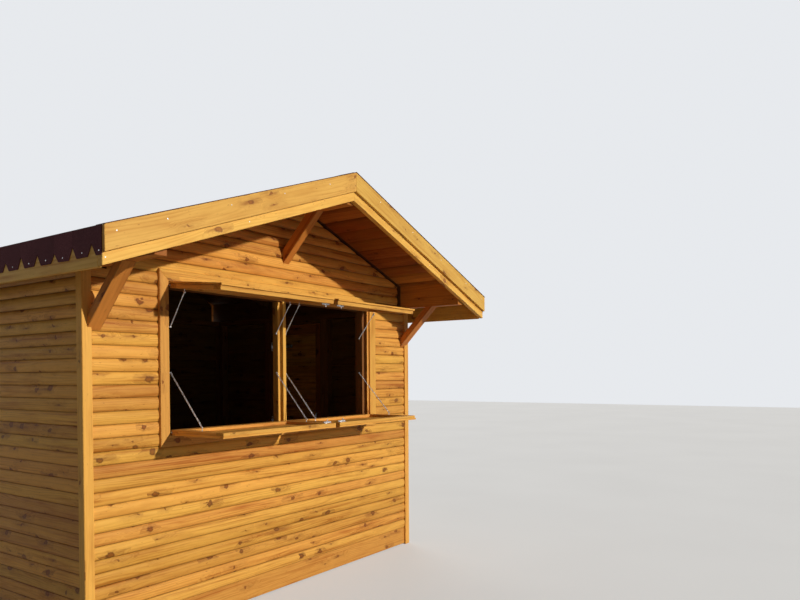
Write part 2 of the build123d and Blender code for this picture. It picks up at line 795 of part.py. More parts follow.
with BuildPart() as ridge_cap:
    cap_rise = ridge_cap_thick / cos_pitch
    cap_outline = [
        (0, roof_height(0)),
        (ridge_cap_width, roof_height(ridge_cap_width)),
        (ridge_cap_width, roof_height(ridge_cap_width) + cap_rise),
        (0, roof_height(0) + cap_rise),
        (-ridge_cap_width, roof_height(ridge_cap_width) + cap_rise),
        (-ridge_cap_width, roof_height(ridge_cap_width)),
    ]
    front_panel(cap_outline, rafter_front, rafter_back)
save(ridge_cap, "ridge_cap")
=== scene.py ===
"""Looks of a wooden market hut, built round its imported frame. Metres, in the frame's own axes."""
import random
from math import atan2, copysign, cos, floor, pi, radians, sin, sqrt, tan

import bmesh
import bpy
from mathutils import Matrix, Vector


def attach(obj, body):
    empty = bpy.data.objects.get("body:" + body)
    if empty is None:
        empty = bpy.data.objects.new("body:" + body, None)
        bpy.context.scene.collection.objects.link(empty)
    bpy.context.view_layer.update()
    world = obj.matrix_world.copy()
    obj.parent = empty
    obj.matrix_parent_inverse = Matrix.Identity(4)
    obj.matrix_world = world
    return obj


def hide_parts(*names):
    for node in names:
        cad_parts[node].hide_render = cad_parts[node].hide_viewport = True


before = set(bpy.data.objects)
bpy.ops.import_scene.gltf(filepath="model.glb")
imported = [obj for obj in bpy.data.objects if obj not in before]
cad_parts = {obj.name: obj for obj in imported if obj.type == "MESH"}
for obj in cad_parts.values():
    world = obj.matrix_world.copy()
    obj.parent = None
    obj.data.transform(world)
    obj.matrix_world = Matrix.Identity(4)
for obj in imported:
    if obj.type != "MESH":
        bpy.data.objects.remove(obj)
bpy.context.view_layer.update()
scene = bpy.context.scene

# Directions and sides
ORIGIN = Vector((0, 0, 0))
X, Y, Z = Vector((1, 0, 0)), Vector((0, 1, 0)), Vector((0, 0, 1))
SIDES = ((-1, "left"), (1, "right"))

# Walls and floor of the frame
HALF_W = 1.5
HALF_D = 1.225
POST = 0.056
SETBACK = 0.013
SIDING = 0.022
STUD_D = 0.070
STUD_W = 0.045
ROW = 0.071475
PLINTH = 0.020
PLINTH_TOP = 0.148
BEARER = 0.070
DECK = 0.090
INNER = SETBACK + SIDING
WALL = INNER + STUD_D
WALL_Y = SETBACK - HALF_D
POST_X = HALF_W - POST
POST_Y = HALF_D - POST

# Roof of the frame
APEX = 2.782
PITCH = radians(20.1)
SLOPE = tan(PITCH)
COS = cos(PITCH)
SIN = sin(PITCH)
EAVE_X = 1.753
SLOPE_LEN = EAVE_X / COS
SHINGLE_DROP = 0.008 / COS
DECK_DROP = SHINGLE_DROP + 0.020 / COS
BARGE = 0.020
BARGE_HIGH = 0.120
RAFTER = 0.036
RAFTER_HIGH = 0.148
ROOF_FRONT = -HALF_D - 0.622
ROOF_BACK = HALF_D + 0.200
RAFTER_FRONT = ROOF_FRONT + BARGE
RAFTER_BACK = ROOF_BACK - BARGE
BEAM_FRONT = RAFTER_FRONT + RAFTER
BEAM_BACK = RAFTER_BACK - RAFTER
BEAM_OUT = HALF_W - INNER
FRAME_Y = HALF_D - INNER
BEAM_IN = BEAM_OUT - STUD_D
BEAM_MID = (BEAM_IN + BEAM_OUT) / 2
GABLE_X = BEAM_IN - STUD_W
RIDGE_HALF = 0.035


def roof(x, drop=0.0):
    """Height of the roof at x, a vertical distance below its top."""
    return APEX - SLOPE * abs(x) - drop


BEAM_Z = roof(BEAM_OUT, DECK_DROP) - 0.161
RIDGE_Z = roof(0, DECK_DROP) - 0.169

# The photograph shows the hatch a little left of the middle, with its left stud behind the casing
HATCH_Z0 = 1.136
HATCH_Z1 = BEAM_Z - 0.024
LIP = 0.023
CASING = (-0.973, 0.939)
CASING_OUT = (-1.036, 1.016)
CASING_RIM = 0.065
CASING_THICK = 0.018
SIDING_CUT = (-0.968, 0.917)
SIDING_Z = (HATCH_Z0 + LIP, HATCH_Z1 - LIP)
CLEAR = (-0.945, 0.888)
CLEAR_Z0 = HATCH_Z0 + LIP
CLEAR_Z1 = HATCH_Z1 - 0.035
FLAP_Y = SETBACK - CASING_THICK - HALF_D
FLAP_LEN = (HATCH_Z1 - HATCH_Z0) / 2
FLAP_NEAR = 0.020
FLAP_FAR = {-1: 0.965, 1: 0.933}
FLAP_INSET = {-1: 0.001, 1: 0.014}
SKIN = 0.012
UPPER_THICK = 0.039
LOWER_THICK = 0.032

# Doorway in the right wall
DOOR_MID = 0.033
DOOR_HALF = 0.3235
DOOR_Y0 = DOOR_MID - DOOR_HALF
DOOR_Y1 = DOOR_MID + DOOR_HALF
DOOR_Z = BEAM_Z - 0.075

rng = random.Random(20)

# Board faces: joint and tongue of a row, heights of a section's points, groove value of inner faces painted
# in the shade of the dark room
JOINT = 0.0004
TONGUE = 0.006
SHARES = (0.0, 0.03, 0.09, 0.19, 0.33, 0.5, 0.67, 0.81, 0.91, 0.97, 1.0)
ROOM_SHADE = 2.0


# Mesh building
def box(a0, a1, b0, b1):
    """Outline of a rectangle."""
    return [(a0, b0), (a1, b0), (a1, b1), (a0, b1)]


def cut_corners(outline, c):
    """Outline with each corner replaced by a small bevel."""
    points = []
    count = len(outline)
    for i in range(count):
        here = Vector(outline[i])
        for other in (outline[i - 1], outline[(i + 1) % count]):
            way = Vector(other) - here
            points.append(here + way * min(0.45, c / max(way.length, 1e-9)))
    return points


def inset(outline, c):
    """Convex outline moved inwards by c."""
    count = len(outline)
    area = sum(outline[i - 1].x * outline[i].y - outline[i].x * outline[i - 1].y for i in range(count))
    turn = 1 if area > 0 else -1
    moved = []
    for i in range(count):
        before, here, after = outline[i - 1], outline[i], outline[(i + 1) % count]
        n1 = Vector((-(here - before).y, (here - before).x)).normalized() * turn
        n2 = Vector((-(after - here).y, (after - here).x)).normalized() * turn
        mid = n1 + n2
        moved.append(here + mid * (c / max(0.3, mid.dot(n1))))
    return moved


def clip(outline, low, high):
    """Convex outline cut to low..high in its first direction."""
    for limit, sign in ((low, 1), (high, -1)):
        kept = []
        for i in range(len(outline)):
            a, b = outline[i - 1], outline[i]
            a_in, b_in = sign * (a[0] - limit) >= 0, sign * (b[0] - limit) >= 0
            if a_in != b_in:
                t = (limit - a[0]) / (b[0] - a[0])
                kept.append((limit, a[1] + t * (b[1] - a[1])))
            if b_in:
                kept.append(b)
        outline = kept
        if len(outline) < 3:
            return []
    return outline


class Piece:
    """Boards gathered into one mesh, each with its own grain, tone and groove values.

    A groove value sets painted shade: 0 on an open face, 1 in the valley between two boards and 2 on faces
    towards the dark room.
    """

    def __init__(self, name):
        self.name = name
        self.verts = []
        self.faces = []
        self.face_board = []
        self.boards = []
        self.tone = []
        self.groove = []

    def add(self, verts, faces, grain, across=None, tone=None, groove=None):
        """Board from its points and faces, with a random tone if none is given."""
        start = len(self.verts)
        self.verts += [tuple(v) for v in verts]
        tone = rng.random() if tone is None else tone
        self.tone += [tone] * len(verts)
        self.groove += groove if groove else [0.0] * len(verts)
        shift = Vector((rng.uniform(0, 40), rng.uniform(0, 40)))
        self.boards.append((Vector(grain).normalized(), across and Vector(across).normalized(), shift))
        for f in faces:
            self.faces.append([start + i for i in f])
            self.face_board.append(len(self.boards) - 1)

    def prism(self, outline, origin, ax, ay, d0, d1, c=0.002, grain=None, tone=None, groove=None):
        """Convex outline in ax and ay, from depth d0 to d1 along their normal, with small bevels.

        groove is a function of an outline's point.
        """
        az = ax.cross(ay).normalized()
        flat = [Vector(p) for p in outline]
        if c > 0:
            flat = cut_corners(flat, c)
            small = inset(flat, c)
            rings = [(small, d0), (flat, d0 + c), (flat, d1 - c), (small, d1)]
        else:
            rings = [(flat, d0), (flat, d1)]
        n = len(flat)
        verts = [origin + ax * p.x + ay * p.y + az * d for ring, d in rings for p in ring]
        faces = [list(range(n))[::-1], [len(verts) - n + i for i in range(n)]]
        for r in range(len(rings) - 1):
            for i in range(n):
                j = (i + 1) % n
                faces.append([r * n + i, r * n + j, (r + 1) * n + j, (r + 1) * n + i])
        values = groove and [groove(p) for ring, _ in rings for p in ring]
        self.add(verts, faces, grain if grain is not None else az, tone=tone, groove=values)

    def profile(self, outline, y0, y1, c=0.002, grain=None, tone=None, groove=None):
        """Convex outline in x and z, from y0 to y1."""
        self.prism(outline, ORIGIN, X, Z, -y1, -y0, c, grain, tone, groove)

    def bar(self, x, y, z, along, c=0.002, tone=None):
        """Straight bar between two corners, grain along one axis."""
        a, b, length, ax, ay = {"x": (y, z, x, Y, Z), "y": (z, x, y, Z, X), "z": (x, y, z, X, Y)}[along]
        self.prism(box(*sorted(a), *sorted(b)), ORIGIN, ax, ay, *sorted(length), c, tone=tone)

    def half_log(self, place, v0, v1, row, ends, depths, tongue=False, inside=0.2):
        """Board with a rounded face between heights v0 and v1 of its row, cut at ends(v).

        place is its origin and the ways along, up and out, and depths are those of crown, valley and back.
        Its groove values go from 0 on the crown to 1 in the valley; the back has the value inside.
        """
        origin, along, up, out = place
        crown, valley, back = depths
        section = set()
        for share in SHARES:
            v = row + JOINT + (ROW - 2 * JOINT) * share
            if v0 - 1e-9 <= v <= v1 + 1e-9:
                section.add(round(v, 6))
        section = sorted(section | {max(v0, row + JOINT), min(v1, row + ROW - JOINT)})
        ring = []
        for v in section:
            offset = (v - row) / ROW * 2 - 1
            bulge = max(0.0, 1 - abs(offset) ** 2.4) ** 0.66
            ring.append((v, valley + (crown - valley) * bulge, 1 - bulge))
        top, bottom = section[-1], section[0]
        if tongue:
            tip = top + TONGUE
            ring += [(top, back + 0.008, 1), (tip, back + 0.0075, 1), (tip, back + 0.003, inside)]
        for v, w in ((top, 0.0015), (top - 0.002, 0), (bottom + 0.002, 0), (bottom, 0.0015)):
            ring.append((v, back + w, inside))
        n = len(ring)
        span = ends(0.5 * (top + bottom))
        steps = max(2, int(abs(span[1] - span[0]) / 0.5) + 1)
        sway = [rng.uniform(-0.0006, 0.0006) for _ in range(steps)]
        verts, groove = [], []
        for k in range(steps):
            t = k / (steps - 1)
            for v, w, g in ring:
                low, high = ends(v)
                push = sway[k] if w > back + 0.003 else 0.0
                verts.append(origin + along * (low + (high - low) * t) + up * v + out * (w + push))
                groove.append(g)
        faces = [list(range(n)), [(steps - 1) * n + i for i in range(n)][::-1]]
        for k in range(steps - 1):
            for i in range(n):
                j = (i + 1) % n
                faces.append([k * n + j, k * n + i, (k + 1) * n + i, (k + 1) * n + j])
        self.add(verts, faces, along, across=up, groove=groove)

    def map_grain(self, mesh):
        """UV map in metres with u along each board's grain, and a mark on faces cut across the grain."""
        uv = mesh.uv_layers.new(name="UVMap")
        cuts = []
        for poly in mesh.polygons:
            grain, across, shift = self.boards[self.face_board[poly.index]]
            end = abs(poly.normal.dot(grain)) > 0.8
            cuts.append(1.0 if end else 0.0)
            if end:
                a = grain.orthogonal().normalized()
                b = grain.cross(a)
            else:
                a = grain
                b = poly.normal.cross(grain).normalized() if across is None else across
            for loop in poly.loop_indices:
                p = mesh.vertices[mesh.loops[loop].vertex_index].co
                uv.data[loop].uv = (p.dot(a) + shift.x, p.dot(b) + shift.y)
        mesh.attributes.new("cut", "FLOAT", "FACE").data.foreach_set("value", cuts)

    def done(self, material, replaced=(), body="hut", angle=35):
        mesh = bpy.data.meshes.new(self.name)
        mesh.from_pydata(self.verts, [], self.faces)
        bm = bmesh.new()
        bm.from_mesh(mesh)
        bmesh.ops.recalc_face_normals(bm, faces=bm.faces)
        bm.to_mesh(mesh)
        bm.free()
        for name, values in (("tone", self.tone), ("groove", self.groove)):
            mesh.attributes.new(name, "FLOAT", "POINT").data.foreach_set("value", values)
        self.map_grain(mesh)
        for poly in mesh.polygons:
            poly.use_smooth = True
        mesh.set_sharp_from_angle(angle=radians(angle))
        mesh.materials.append(material)
        obj = bpy.data.objects.new(self.name, mesh)
        scene.collection.objects.link(obj)
        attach(obj, body)
        if replaced:
            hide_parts(*replaced)


# Round shapes
def circle(centre, a, b, radius, sides):
    """Points of a circle in the plane of a and b."""
    turns = (2 * pi * i / sides for i in range(sides))
    return [centre + (a * cos(t) + b * sin(t)) * radius for t in turns]


def dome(piece, centre, out, radius, height):
    """Low round head, such as a nail's or screw's."""
    sides = 10
    centre, out = Vector(centre), Vector(out).normalized()
    a = out.orthogonal().normalized()
    b = out.cross(a)
    verts = []
    for share, lift in ((1.0, 0.0), (0.92, 0.5), (0.6, 0.87)):
        verts += circle(centre + out * height * lift, a, b, radius * share, sides)
    verts += [centre + out * height, centre - out * 0.0005]
    faces = []
    for i in range(sides):
        j = (i + 1) % sides
        faces += [[r * sides + i, r * sides + j, (r + 1) * sides + j, (r + 1) * sides + i] for r in range(2)]
        faces += [[2 * sides + i, 2 * sides + j, 3 * sides], [j, i, 3 * sides + 1]]
    piece.add(verts, faces, out, tone=0.5)


def link(piece, centre, long_way, flat_way, length, width, wire):
    """Oval ring of wire, its long way and the way across it."""
    sides, steps = 8, 16
    long_way, flat_way = long_way.normalized(), flat_way.normalized()
    third = long_way.cross(flat_way)
    straight = (length - width) / 2
    radius = width / 2 - wire
    verts = []
    for i in range(steps):
        t = 2 * pi * i / steps
        reach = cos(t) * radius + copysign(straight, cos(t))
        middle = centre + long_way * reach + flat_way * sin(t) * radius
        out = (long_way * cos(t) + flat_way * sin(t)).normalized()
        verts += circle(middle, out, third, wire, sides)
    faces = []
    for i in range(steps):
        k = (i + 1) % steps
        for j in range(sides):
            m = (j + 1) % sides
            faces.append([i * sides + j, i * sides + m, k * sides + m, k * sides + j])
    piece.add(verts, faces, long_way, tone=0.5)


def tube(piece, a, b, radius, sides=12):
    """Round bar from a to b."""
    a, b = Vector(a), Vector(b)
    way = (b - a).normalized()
    p = way.orthogonal().normalized()
    q = way.cross(p)
    verts = circle(a, p, q, radius, sides) + circle(b, p, q, radius, sides)
    faces = [list(range(sides))[::-1], [sides + i for i in range(sides)]]
    faces += [[i, (i + 1) % sides, sides + (i + 1) % sides, sides + i] for i in range(sides)]
    piece.add(verts, faces, way, tone=0.5)


# Materials
class Nodes:
    """Short way to build the nodes of a material or a world."""

    def __init__(self, owner):
        owner.use_nodes = True
        self.tree = owner.node_tree
        self.tree.nodes.clear()

    def put(self, socket, value):
        if isinstance(value, bpy.types.NodeSocket):
            self.tree.links.new(value, socket)
        elif value is not None:
            socket.default_value = value

    def fill(self, node, inputs):
        for name, value in inputs.items():
            self.put(node.inputs[name.replace("_", " ")], value)

    def new(self, kind, **inputs):
        """Node of a kind, with some of its inputs set or linked."""
        node = self.tree.nodes.new("ShaderNode" + kind)
        self.fill(node, inputs)
        return node

    def math(self, operation, a, b=None, c=None):
        node = self.new("Math")
        node.operation = operation
        for i, value in enumerate((a, b, c)):
            self.put(node.inputs[i], value)
        return node.outputs[0]

    def times(self, a, b):
        return self.math("MULTIPLY", a, b)

    def linear(self, a, factor, plus):
        return self.math("MULTIPLY_ADD", a, factor, plus)

    def attribute(self, name):
        node = self.new("Attribute")
        node.attribute_name = name
        return node.outputs["Fac"]

    def uv(self):
        node = self.new("UVMap")
        node.uv_map = "UVMap"
        return self.new("SeparateXYZ", Vector=node.outputs[0]).outputs[:2]

    def place(self):
        return self.new("TexCoord").outputs["Object"]

    def vector(self, x, y, z=0.0):
        return self.new("CombineXYZ", X=x, Y=y, Z=z).outputs[0]

    def noise(self, vector, scale=1.0, detail=2.0, rough=0.5):
        return self.new("TexNoise", Vector=vector, Scale=scale, Detail=detail, Roughness=rough).outputs["Fac"]

    def ramp(self, value, low, high, start=0.0, end=1.0):
        """Smooth step of a value between low and high, from start to end."""
        node = self.new("MapRange", Value=value, From_Min=low, From_Max=high, To_Min=start, To_Max=end)
        node.interpolation_type = "SMOOTHSTEP"
        return node.outputs["Result"]

    def mix(self, share, a, b):
        node = self.new("Mix")
        node.data_type = "RGBA"
        self.fill(node, {"Factor": share, "A": a, "B": b})
        return [o for o in node.outputs if o.type == "RGBA"][0]

    def hsv(self, colour, hue, value):
        return self.new("HueSaturation", Color=colour, Hue=hue, Value=value).outputs[0]

    def seen_directly(self):
        """1 for camera, glossy and transmission rays, else 0."""
        path = self.new("LightPath").outputs
        seen = path["Is Camera Ray"]
        for name in ("Is Glossy Ray", "Is Transmission Ray"):
            seen = self.math("MAXIMUM", seen, path[name])
        return seen


class Material(Nodes):
    """Nodes of a material with a principled shader."""

    def __init__(self, name):
        self.material = bpy.data.materials.new(name)
        super().__init__(self.material)
        self.shader = self.new("BsdfPrincipled")
        self.put(self.new("OutputMaterial").inputs[0], self.shader.outputs[0])

    def bump(self, height, strength, distance):
        node = self.new("Bump", Strength=strength, Distance=distance, Height=height)
        self.put(self.shader.inputs["Normal"], node.outputs[0])

    def set(self, **inputs):
        self.fill(self.shader, inputs)
        return self.material


def rgb(colour, share=1.0):
    return (*(share * c for c in colour), 1.0)


def between(a, b, share):
    """Colour at a share of the way from a to b."""
    return rgb([(1 - share) * p + share * q for p, q in zip(a, b)])


def knot_masks(m, u, v, grain, share):
    """Masks of the knots: body, rim, tail along the grain and halo. A share of the random cells has one."""
    place_u = m.linear(u, 6.4, m.linear(grain(26, 34), 0.30, -0.15))
    place_v = m.linear(v, 9.0, m.linear(grain(26, 34, offset=9), 0.30, -0.15))
    cells = m.new("TexVoronoi", Scale=1.0, Vector=m.vector(place_u, place_v))
    cells.voronoi_dimensions = "2D"
    middle = m.new("SeparateXYZ", Vector=cells.outputs["Position"])
    pick = m.new("SeparateColor", Color=cells.outputs["Color"])
    chosen = m.math("LESS_THAN", pick.outputs[0], share)
    radius = m.linear(m.math("POWER", pick.outputs[1], 1.6), 0.125, 0.038)
    distance = cells.outputs["Distance"]
    along = m.times(m.math("SUBTRACT", place_u, middle.outputs[0]), 0.28)
    across = m.math("SUBTRACT", place_v, middle.outputs[1])
    stretched = m.math("SQRT", m.math("ADD", m.times(along, along), m.times(across, across)))
    body = m.times(m.ramp(distance, m.times(radius, 1.35), m.times(radius, 0.7)), chosen)
    rim = m.ramp(distance, m.times(radius, 0.35), radius)
    tail = m.times(m.ramp(stretched, m.times(radius, 2.6), m.times(radius, 0.3)), chosen)
    tail = m.times(tail, m.ramp(grain(7, 60), 0.35, 0.7))
    halo = m.times(m.ramp(stretched, 0.33, 0.03), chosen)
    return body, rim, tail, halo


def wood(name, light, dark, knot, knots, rings, spread=0.30):
    """Varnished softwood: year rings, knots with tails, streaks, flecks and a tone for each board."""
    m = Material(name)
    u, v = m.uv()
    tone = m.attribute("tone")
    seed = m.times(tone, 57.0)

    def grain(per_u, per_v, detail=2.0, offset=0.0):
        """Noise with so many waves a metre along and across the grain."""
        return m.noise(m.vector(m.linear(u, per_u, offset), m.times(v, per_v), seed), 1.0, detail)

    body, rim, tail, halo = knot_masks(m, u, v, grain, knots)
    phase = m.linear(grain(0.8, 8.0, 3.0), 9.0, m.times(v, rings))
    phase = m.linear(halo, 3.0, phase)
    wave = m.linear(m.math("SINE", m.times(phase, 2 * pi)), 0.5, 0.5)
    ring = m.times(m.math("POWER", wave, 2.2), m.ramp(grain(1.3, 14.0), 0.3, 0.75, 0.2, 1.0))
    fibre = grain(9.0, 620.0)
    streak = m.ramp(grain(1.1, 46.0, 3.0), 0.52, 0.72)
    stain = m.ramp(grain(2.4, 15.0, 3.0, 4.0), 0.46, 0.74)
    mottle = grain(13.0, 44.0, 3.0, 7.0)
    fleck = m.ramp(grain(34.0, 150.0, 1.0), 0.70, 0.80)

    # From light to dark wood
    amount = m.ramp(tone, 0.0, 1.0, spread, 0.0)
    for part, share in ((ring, 0.38), (streak, 0.42), (stain, 0.34), (mottle, 0.30), (fibre, 0.14)):
        amount = m.linear(part, share, amount)
    amount = m.math("MINIMUM", m.math("SUBTRACT", amount, 0.19), 1.25)
    colour = m.mix(amount, rgb(light), rgb(dark))

    # Knots and flecks
    tinge = between(dark, knot, 0.55)
    for part, share in ((halo, 0.16), (tail, 0.75), (fleck, 0.55)):
        colour = m.mix(m.times(part, share), colour, tinge)
    heart = m.mix(rim, between(dark, knot, 0.5), rgb(knot))
    colour = m.mix(m.times(body, 0.92), colour, heart)

    # Painted shade in the valleys and other hollows, near-black painted shade on inner faces towards the dark
    # room, and darker cut ends
    groove = m.attribute("groove")
    painted_shade = m.times(m.math("POWER", m.math("MINIMUM", groove, 1.0), 3.0), 0.80)
    painted_shade = m.times(painted_shade, m.ramp(groove, 1.8, 1.2))
    colour = m.mix(painted_shade, colour, rgb(dark, 0.24))
    colour = m.mix(m.ramp(groove, 1.2, 1.8, 0.0, 0.72), colour, rgb((0.035, 0.020, 0.012)))
    colour = m.mix(m.times(m.attribute("cut"), 0.45), colour, rgb(dark, 0.7))

    # Each board's own hue and lightness
    hue = m.linear(m.math("FRACT", m.times(tone, 7.3)), 0.012, 0.494)
    value = m.ramp(m.math("FRACT", m.times(tone, 3.7)), 0.0, 1.0, 0.9, 1.08)
    relief = m.linear(ring, -0.4, m.linear(body, -0.8, fibre))
    m.bump(relief, 0.4, 0.0007)
    shine = m.linear(fibre, 0.16, 0.42)
    return m.set(Base_Color=m.hsv(colour, hue, value), Roughness=shine, Specular_IOR_Level=0.14)


def granules(name, dark, light, spread=0.25):
    """Mineral-faced bitumen shingle, with painted shade that darkens each tab towards its upper edge, under
    the course above.
    """
    m = Material(name)
    u, v = m.uv()
    tone = m.attribute("tone")
    grit = m.noise(m.vector(m.times(u, 520.0), m.times(v, 520.0), tone), 1.0, 2.0, 0.7)
    broad = m.noise(m.vector(m.times(u, 3.0), m.times(v, 3.0)), 1.0, 3.0)
    colour = m.mix(m.ramp(grit, 0.38, 0.66), rgb(dark), rgb(light))
    value = m.times(m.ramp(tone, 0.0, 1.0, 1.0 - spread, 1.0 + spread), m.ramp(broad, 0.3, 0.7, 0.82, 1.1))
    # Painted shade under the course above, from the groove value that rises towards each tab's upper edge
    value = m.times(value, m.ramp(m.attribute("groove"), 0.0, 0.5, 1.12, 0.62))
    m.bump(grit, 0.7, 0.0012)
    return m.set(Base_Color=m.hsv(colour, 0.5, value), Roughness=0.93, Specular_IOR_Level=0.2)


def steel(name, colour):
    """Zinc-plated ironwork with darker, rougher patches."""
    m = Material(name)
    patch = m.noise(m.place(), 60.0, 3.0)
    shade = m.mix(m.ramp(patch, 0.35, 0.7), rgb(colour), rgb(colour, 0.6))
    m.bump(m.noise(m.place(), 900.0, 1.0), 0.15, 0.0003)
    return m.set(Base_Color=shade, Metallic=0.9, Roughness=m.ramp(patch, 0.3, 0.7, 0.34, 0.54))


PINE = wood("siding_pine", (0.86, 0.44, 0.085), (0.42, 0.135, 0.016), (0.11, 0.030, 0.008), 0.5, 60)
JOINERY = wood("joinery_pine", (0.84, 0.44, 0.090), (0.48, 0.17, 0.025), (0.15, 0.046, 0.012), 0.3, 70)
BEAM = wood("beam_pine", (0.66, 0.26, 0.050), (0.38, 0.115, 0.020), (0.10, 0.028, 0.008), 0.35, 60, 0.35)
TRIM = wood("trim_pine", (0.88, 0.50, 0.115), (0.56, 0.215, 0.030), (0.20, 0.060, 0.026), 0.45, 42, 0.24)
# Frame, floor and bearer timbers: wood colours darkened by painted shade of the dark room
SHADED_FRAME_PINE = wood("frame_pine", (0.34, 0.15, 0.045), (0.19, 0.070, 0.018), (0.07, 0.024, 0.010), 0.4, 80)
SOFFIT = wood("soffit_pine", (0.66, 0.26, 0.052), (0.28, 0.08, 0.014), (0.09, 0.026, 0.008), 0.45, 60, 0.85)
DOOR = wood("door_pine", (0.62, 0.25, 0.055), (0.34, 0.105, 0.018), (0.10, 0.030, 0.009), 0.4, 70)
SHINGLE = granules("red_shingle", (0.065, 0.020, 0.017), (0.23, 0.090, 0.072))
RIDGE = granules("ridge_shingle", (0.055, 0.018, 0.016), (0.19, 0.075, 0.062))
FRINGE = granules("fringe_shingle", (0.055, 0.014, 0.017), (0.17, 0.055, 0.060), 0.2)
STEEL = steel("zinc_steel", (0.84, 0.84, 0.85))

# Walls of half-round boards, their inner faces in painted room shade
SIDING_DEPTHS = (-0.0085, -0.0198, -INNER)
GABLE_GAP = 0.022
GABLE_TOP = roof(RIDGE_HALF, DECK_DROP)
SIDE_TOP = roof(HALF_W - SETBACK, DECK_DROP)


def rows(z0, z1, breaks=()):
    """Board rows between two heights, split at the given heights."""
    edges = [z0]
    k = floor((z0 - PLINTH_TOP) / ROW) + 1
    while PLINTH_TOP + k * ROW < z1 - 0.004:
        edges.append(PLINTH_TOP + k * ROW)
        k += 1
    edges += [b for b in breaks if z0 + 0.001 < b < z1 - 0.001] + [z1]
    edges = sorted(set(round(e, 6) for e in edges))
    found = []
    for a, b in zip(edges, edges[1:]):
        row = PLINTH_TOP + ROW * floor(((a + b) / 2 - PLINTH_TOP) / ROW)
        found.append((a, b, row))
    return found


def wall(name, nodes, origin, along, out, spans, z1, breaks):
    """Wall of board rows; spans(z) gives a row's stretches, each a pair of functions or numbers."""
    piece = Piece(name)
    for a, b, row in rows(PLINTH_TOP, z1, breaks):
        tongue = abs(b - row - ROW) < 1e-5 and b < z1 - 0.02
        for span in spans((a + b) / 2):

            def ends(v):
                return [end(v) if callable(end) else end for end in span]

            piece.half_log((origin, along, Z, out), a, b, row, ends, SIDING_DEPTHS, tongue, ROOM_SHADE)
    piece.done(PINE, nodes)


def back_reach(z):
    """Half width of the back gable at a height."""
    return min(GABLE_X, (APEX - DECK_DROP - z) / SLOPE)


def front_reach(z):
    """Half width of the front gable, which leaves an open joint under the roof boards."""
    return back_reach(z + GABLE_GAP)


def end_spans(z, reach):
    """Stretches of a front or back wall without its hatch, parted by the ridge beam."""
    if z < BEAM_Z:
        return [(-POST_X, POST_X)]
    if z < RIDGE_Z:
        return [(lambda v: -reach(v), reach)]
    return [(lambda v: -reach(v), -RIDGE_HALF), (RIDGE_HALF, reach)]


def front_spans(z):
    if SIDING_Z[0] < z < SIDING_Z[1]:
        return [(-POST_X, SIDING_CUT[0]), (SIDING_CUT[1], POST_X)]
    return end_spans(z, front_reach)


def back_spans(z):
    return end_spans(z, back_reach)


def left_spans(z):
    return [(-POST_Y, POST_Y)] if z < BEAM_Z else [(-HALF_D, HALF_D)]


def right_spans(z):
    if z < DOOR_Z:
        return [(-POST_Y, DOOR_Y0), (DOOR_Y1, POST_Y)]
    return left_spans(z)


front_nodes = ("front_wall_lower", "front_wall_sides", "front_wall_gable")
front_breaks = (*SIDING_Z, BEAM_Z, RIDGE_Z)
right_nodes = ("right_wall_front", "right_wall_back", "right_wall_over_door")
wall("front_boards", front_nodes, Y * -HALF_D, X, -Y, front_spans, GABLE_TOP - GABLE_GAP, front_breaks)
wall("back_boards", ("back_wall",), Y * HALF_D, X, Y, back_spans, GABLE_TOP, (BEAM_Z, RIDGE_Z))
wall("left_boards", ("left_wall",), X * -HALF_W, Y, -X, left_spans, SIDE_TOP, (BEAM_Z,))
wall("right_boards", right_nodes, X * HALF_W, Y, X, right_spans, SIDE_TOP, (DOOR_Z, BEAM_Z))

# Posts, with a paler one at the front right, and plinths
posts = Piece("posts")
for sx in (-1, 1):
    for sy in (-1, 1):
        tone = 0.75 + 0.1 * rng.random()
        if sx > 0 > sy:
            tone = 1.0
        posts.bar((sx * POST_X, sx * HALF_W), (sy * POST_Y, sy * HALF_D), (0, BEAM_Z), "z", 0.003, tone)
posts.done(JOINERY, ("corner_posts",))

plinths = Piece("plinths")
plinth_z = (0.008, PLINTH_TOP)
y_span = (FRAME_Y, FRAME_Y + PLINTH)
x_span = (BEAM_OUT, BEAM_OUT + PLINTH)
for sy in (-1, 1):
    plinths.bar((-POST_X, POST_X), [sy * y for y in y_span], plinth_z, "x")
plinths.bar([-x for x in x_span], (-POST_Y, POST_Y), plinth_z, "y")
for y0, y1, top in ((-POST_Y, DOOR_Y0, PLINTH_TOP), (DOOR_Y0, DOOR_Y1, DECK), (DOOR_Y1, POST_Y, PLINTH_TOP)):
    plinths.bar(x_span, (y0, y1), (plinth_z[0], top), "y", tone=0.6)
plinths.done(JOINERY, ("plinth_boards",))

# Floor, whose outer planks and bearers end between the posts
deck = Piece("deck_planks")
planks = 24
for k in range(planks):
    y0 = -FRAME_Y + 2 * FRAME_Y * k / planks
    y1 = y0 + 2 * FRAME_Y / planks - 0.002
    reach = BEAM_OUT if y0 > -POST_Y and y1 < POST_Y else POST_X
    deck.bar((-reach, reach), (y0, y1), (BEARER, DECK), "x", 0.0015)
deck.done(SHADED_FRAME_PINE, ("floor_deck",))

bearers = Piece("bearers")
half = BEARER / 2
for share in (-1, -0.5, 0, 0.5, 1):
    y = share * (FRAME_Y - half)
    reach = BEAM_OUT if abs(y) < POST_Y - half else POST_X
    bearers.bar((-reach, reach), (y - half, y + half), (0, BEARER), "x")
bearers.done(SHADED_FRAME_PINE, ("floor_bearers",))

# Wall frames
STUD_Z0 = DECK + STUD_W
STUD_Z1 = BEAM_Z - STUD_W


def framed(name, node, bars):
    """Wall frame of plain bars."""
    piece = Piece(name)
    for x, y, z, along in bars:
        piece.bar(x, y, z, along, 0.0015)
    piece.done(SHADED_FRAME_PINE, (node,))


def plates(x, y, along):
    """Sill and head plates of a frame."""
    return [(x, y, z, along) for z in ((DECK, STUD_Z0), (STUD_Z1, BEAM_Z))]


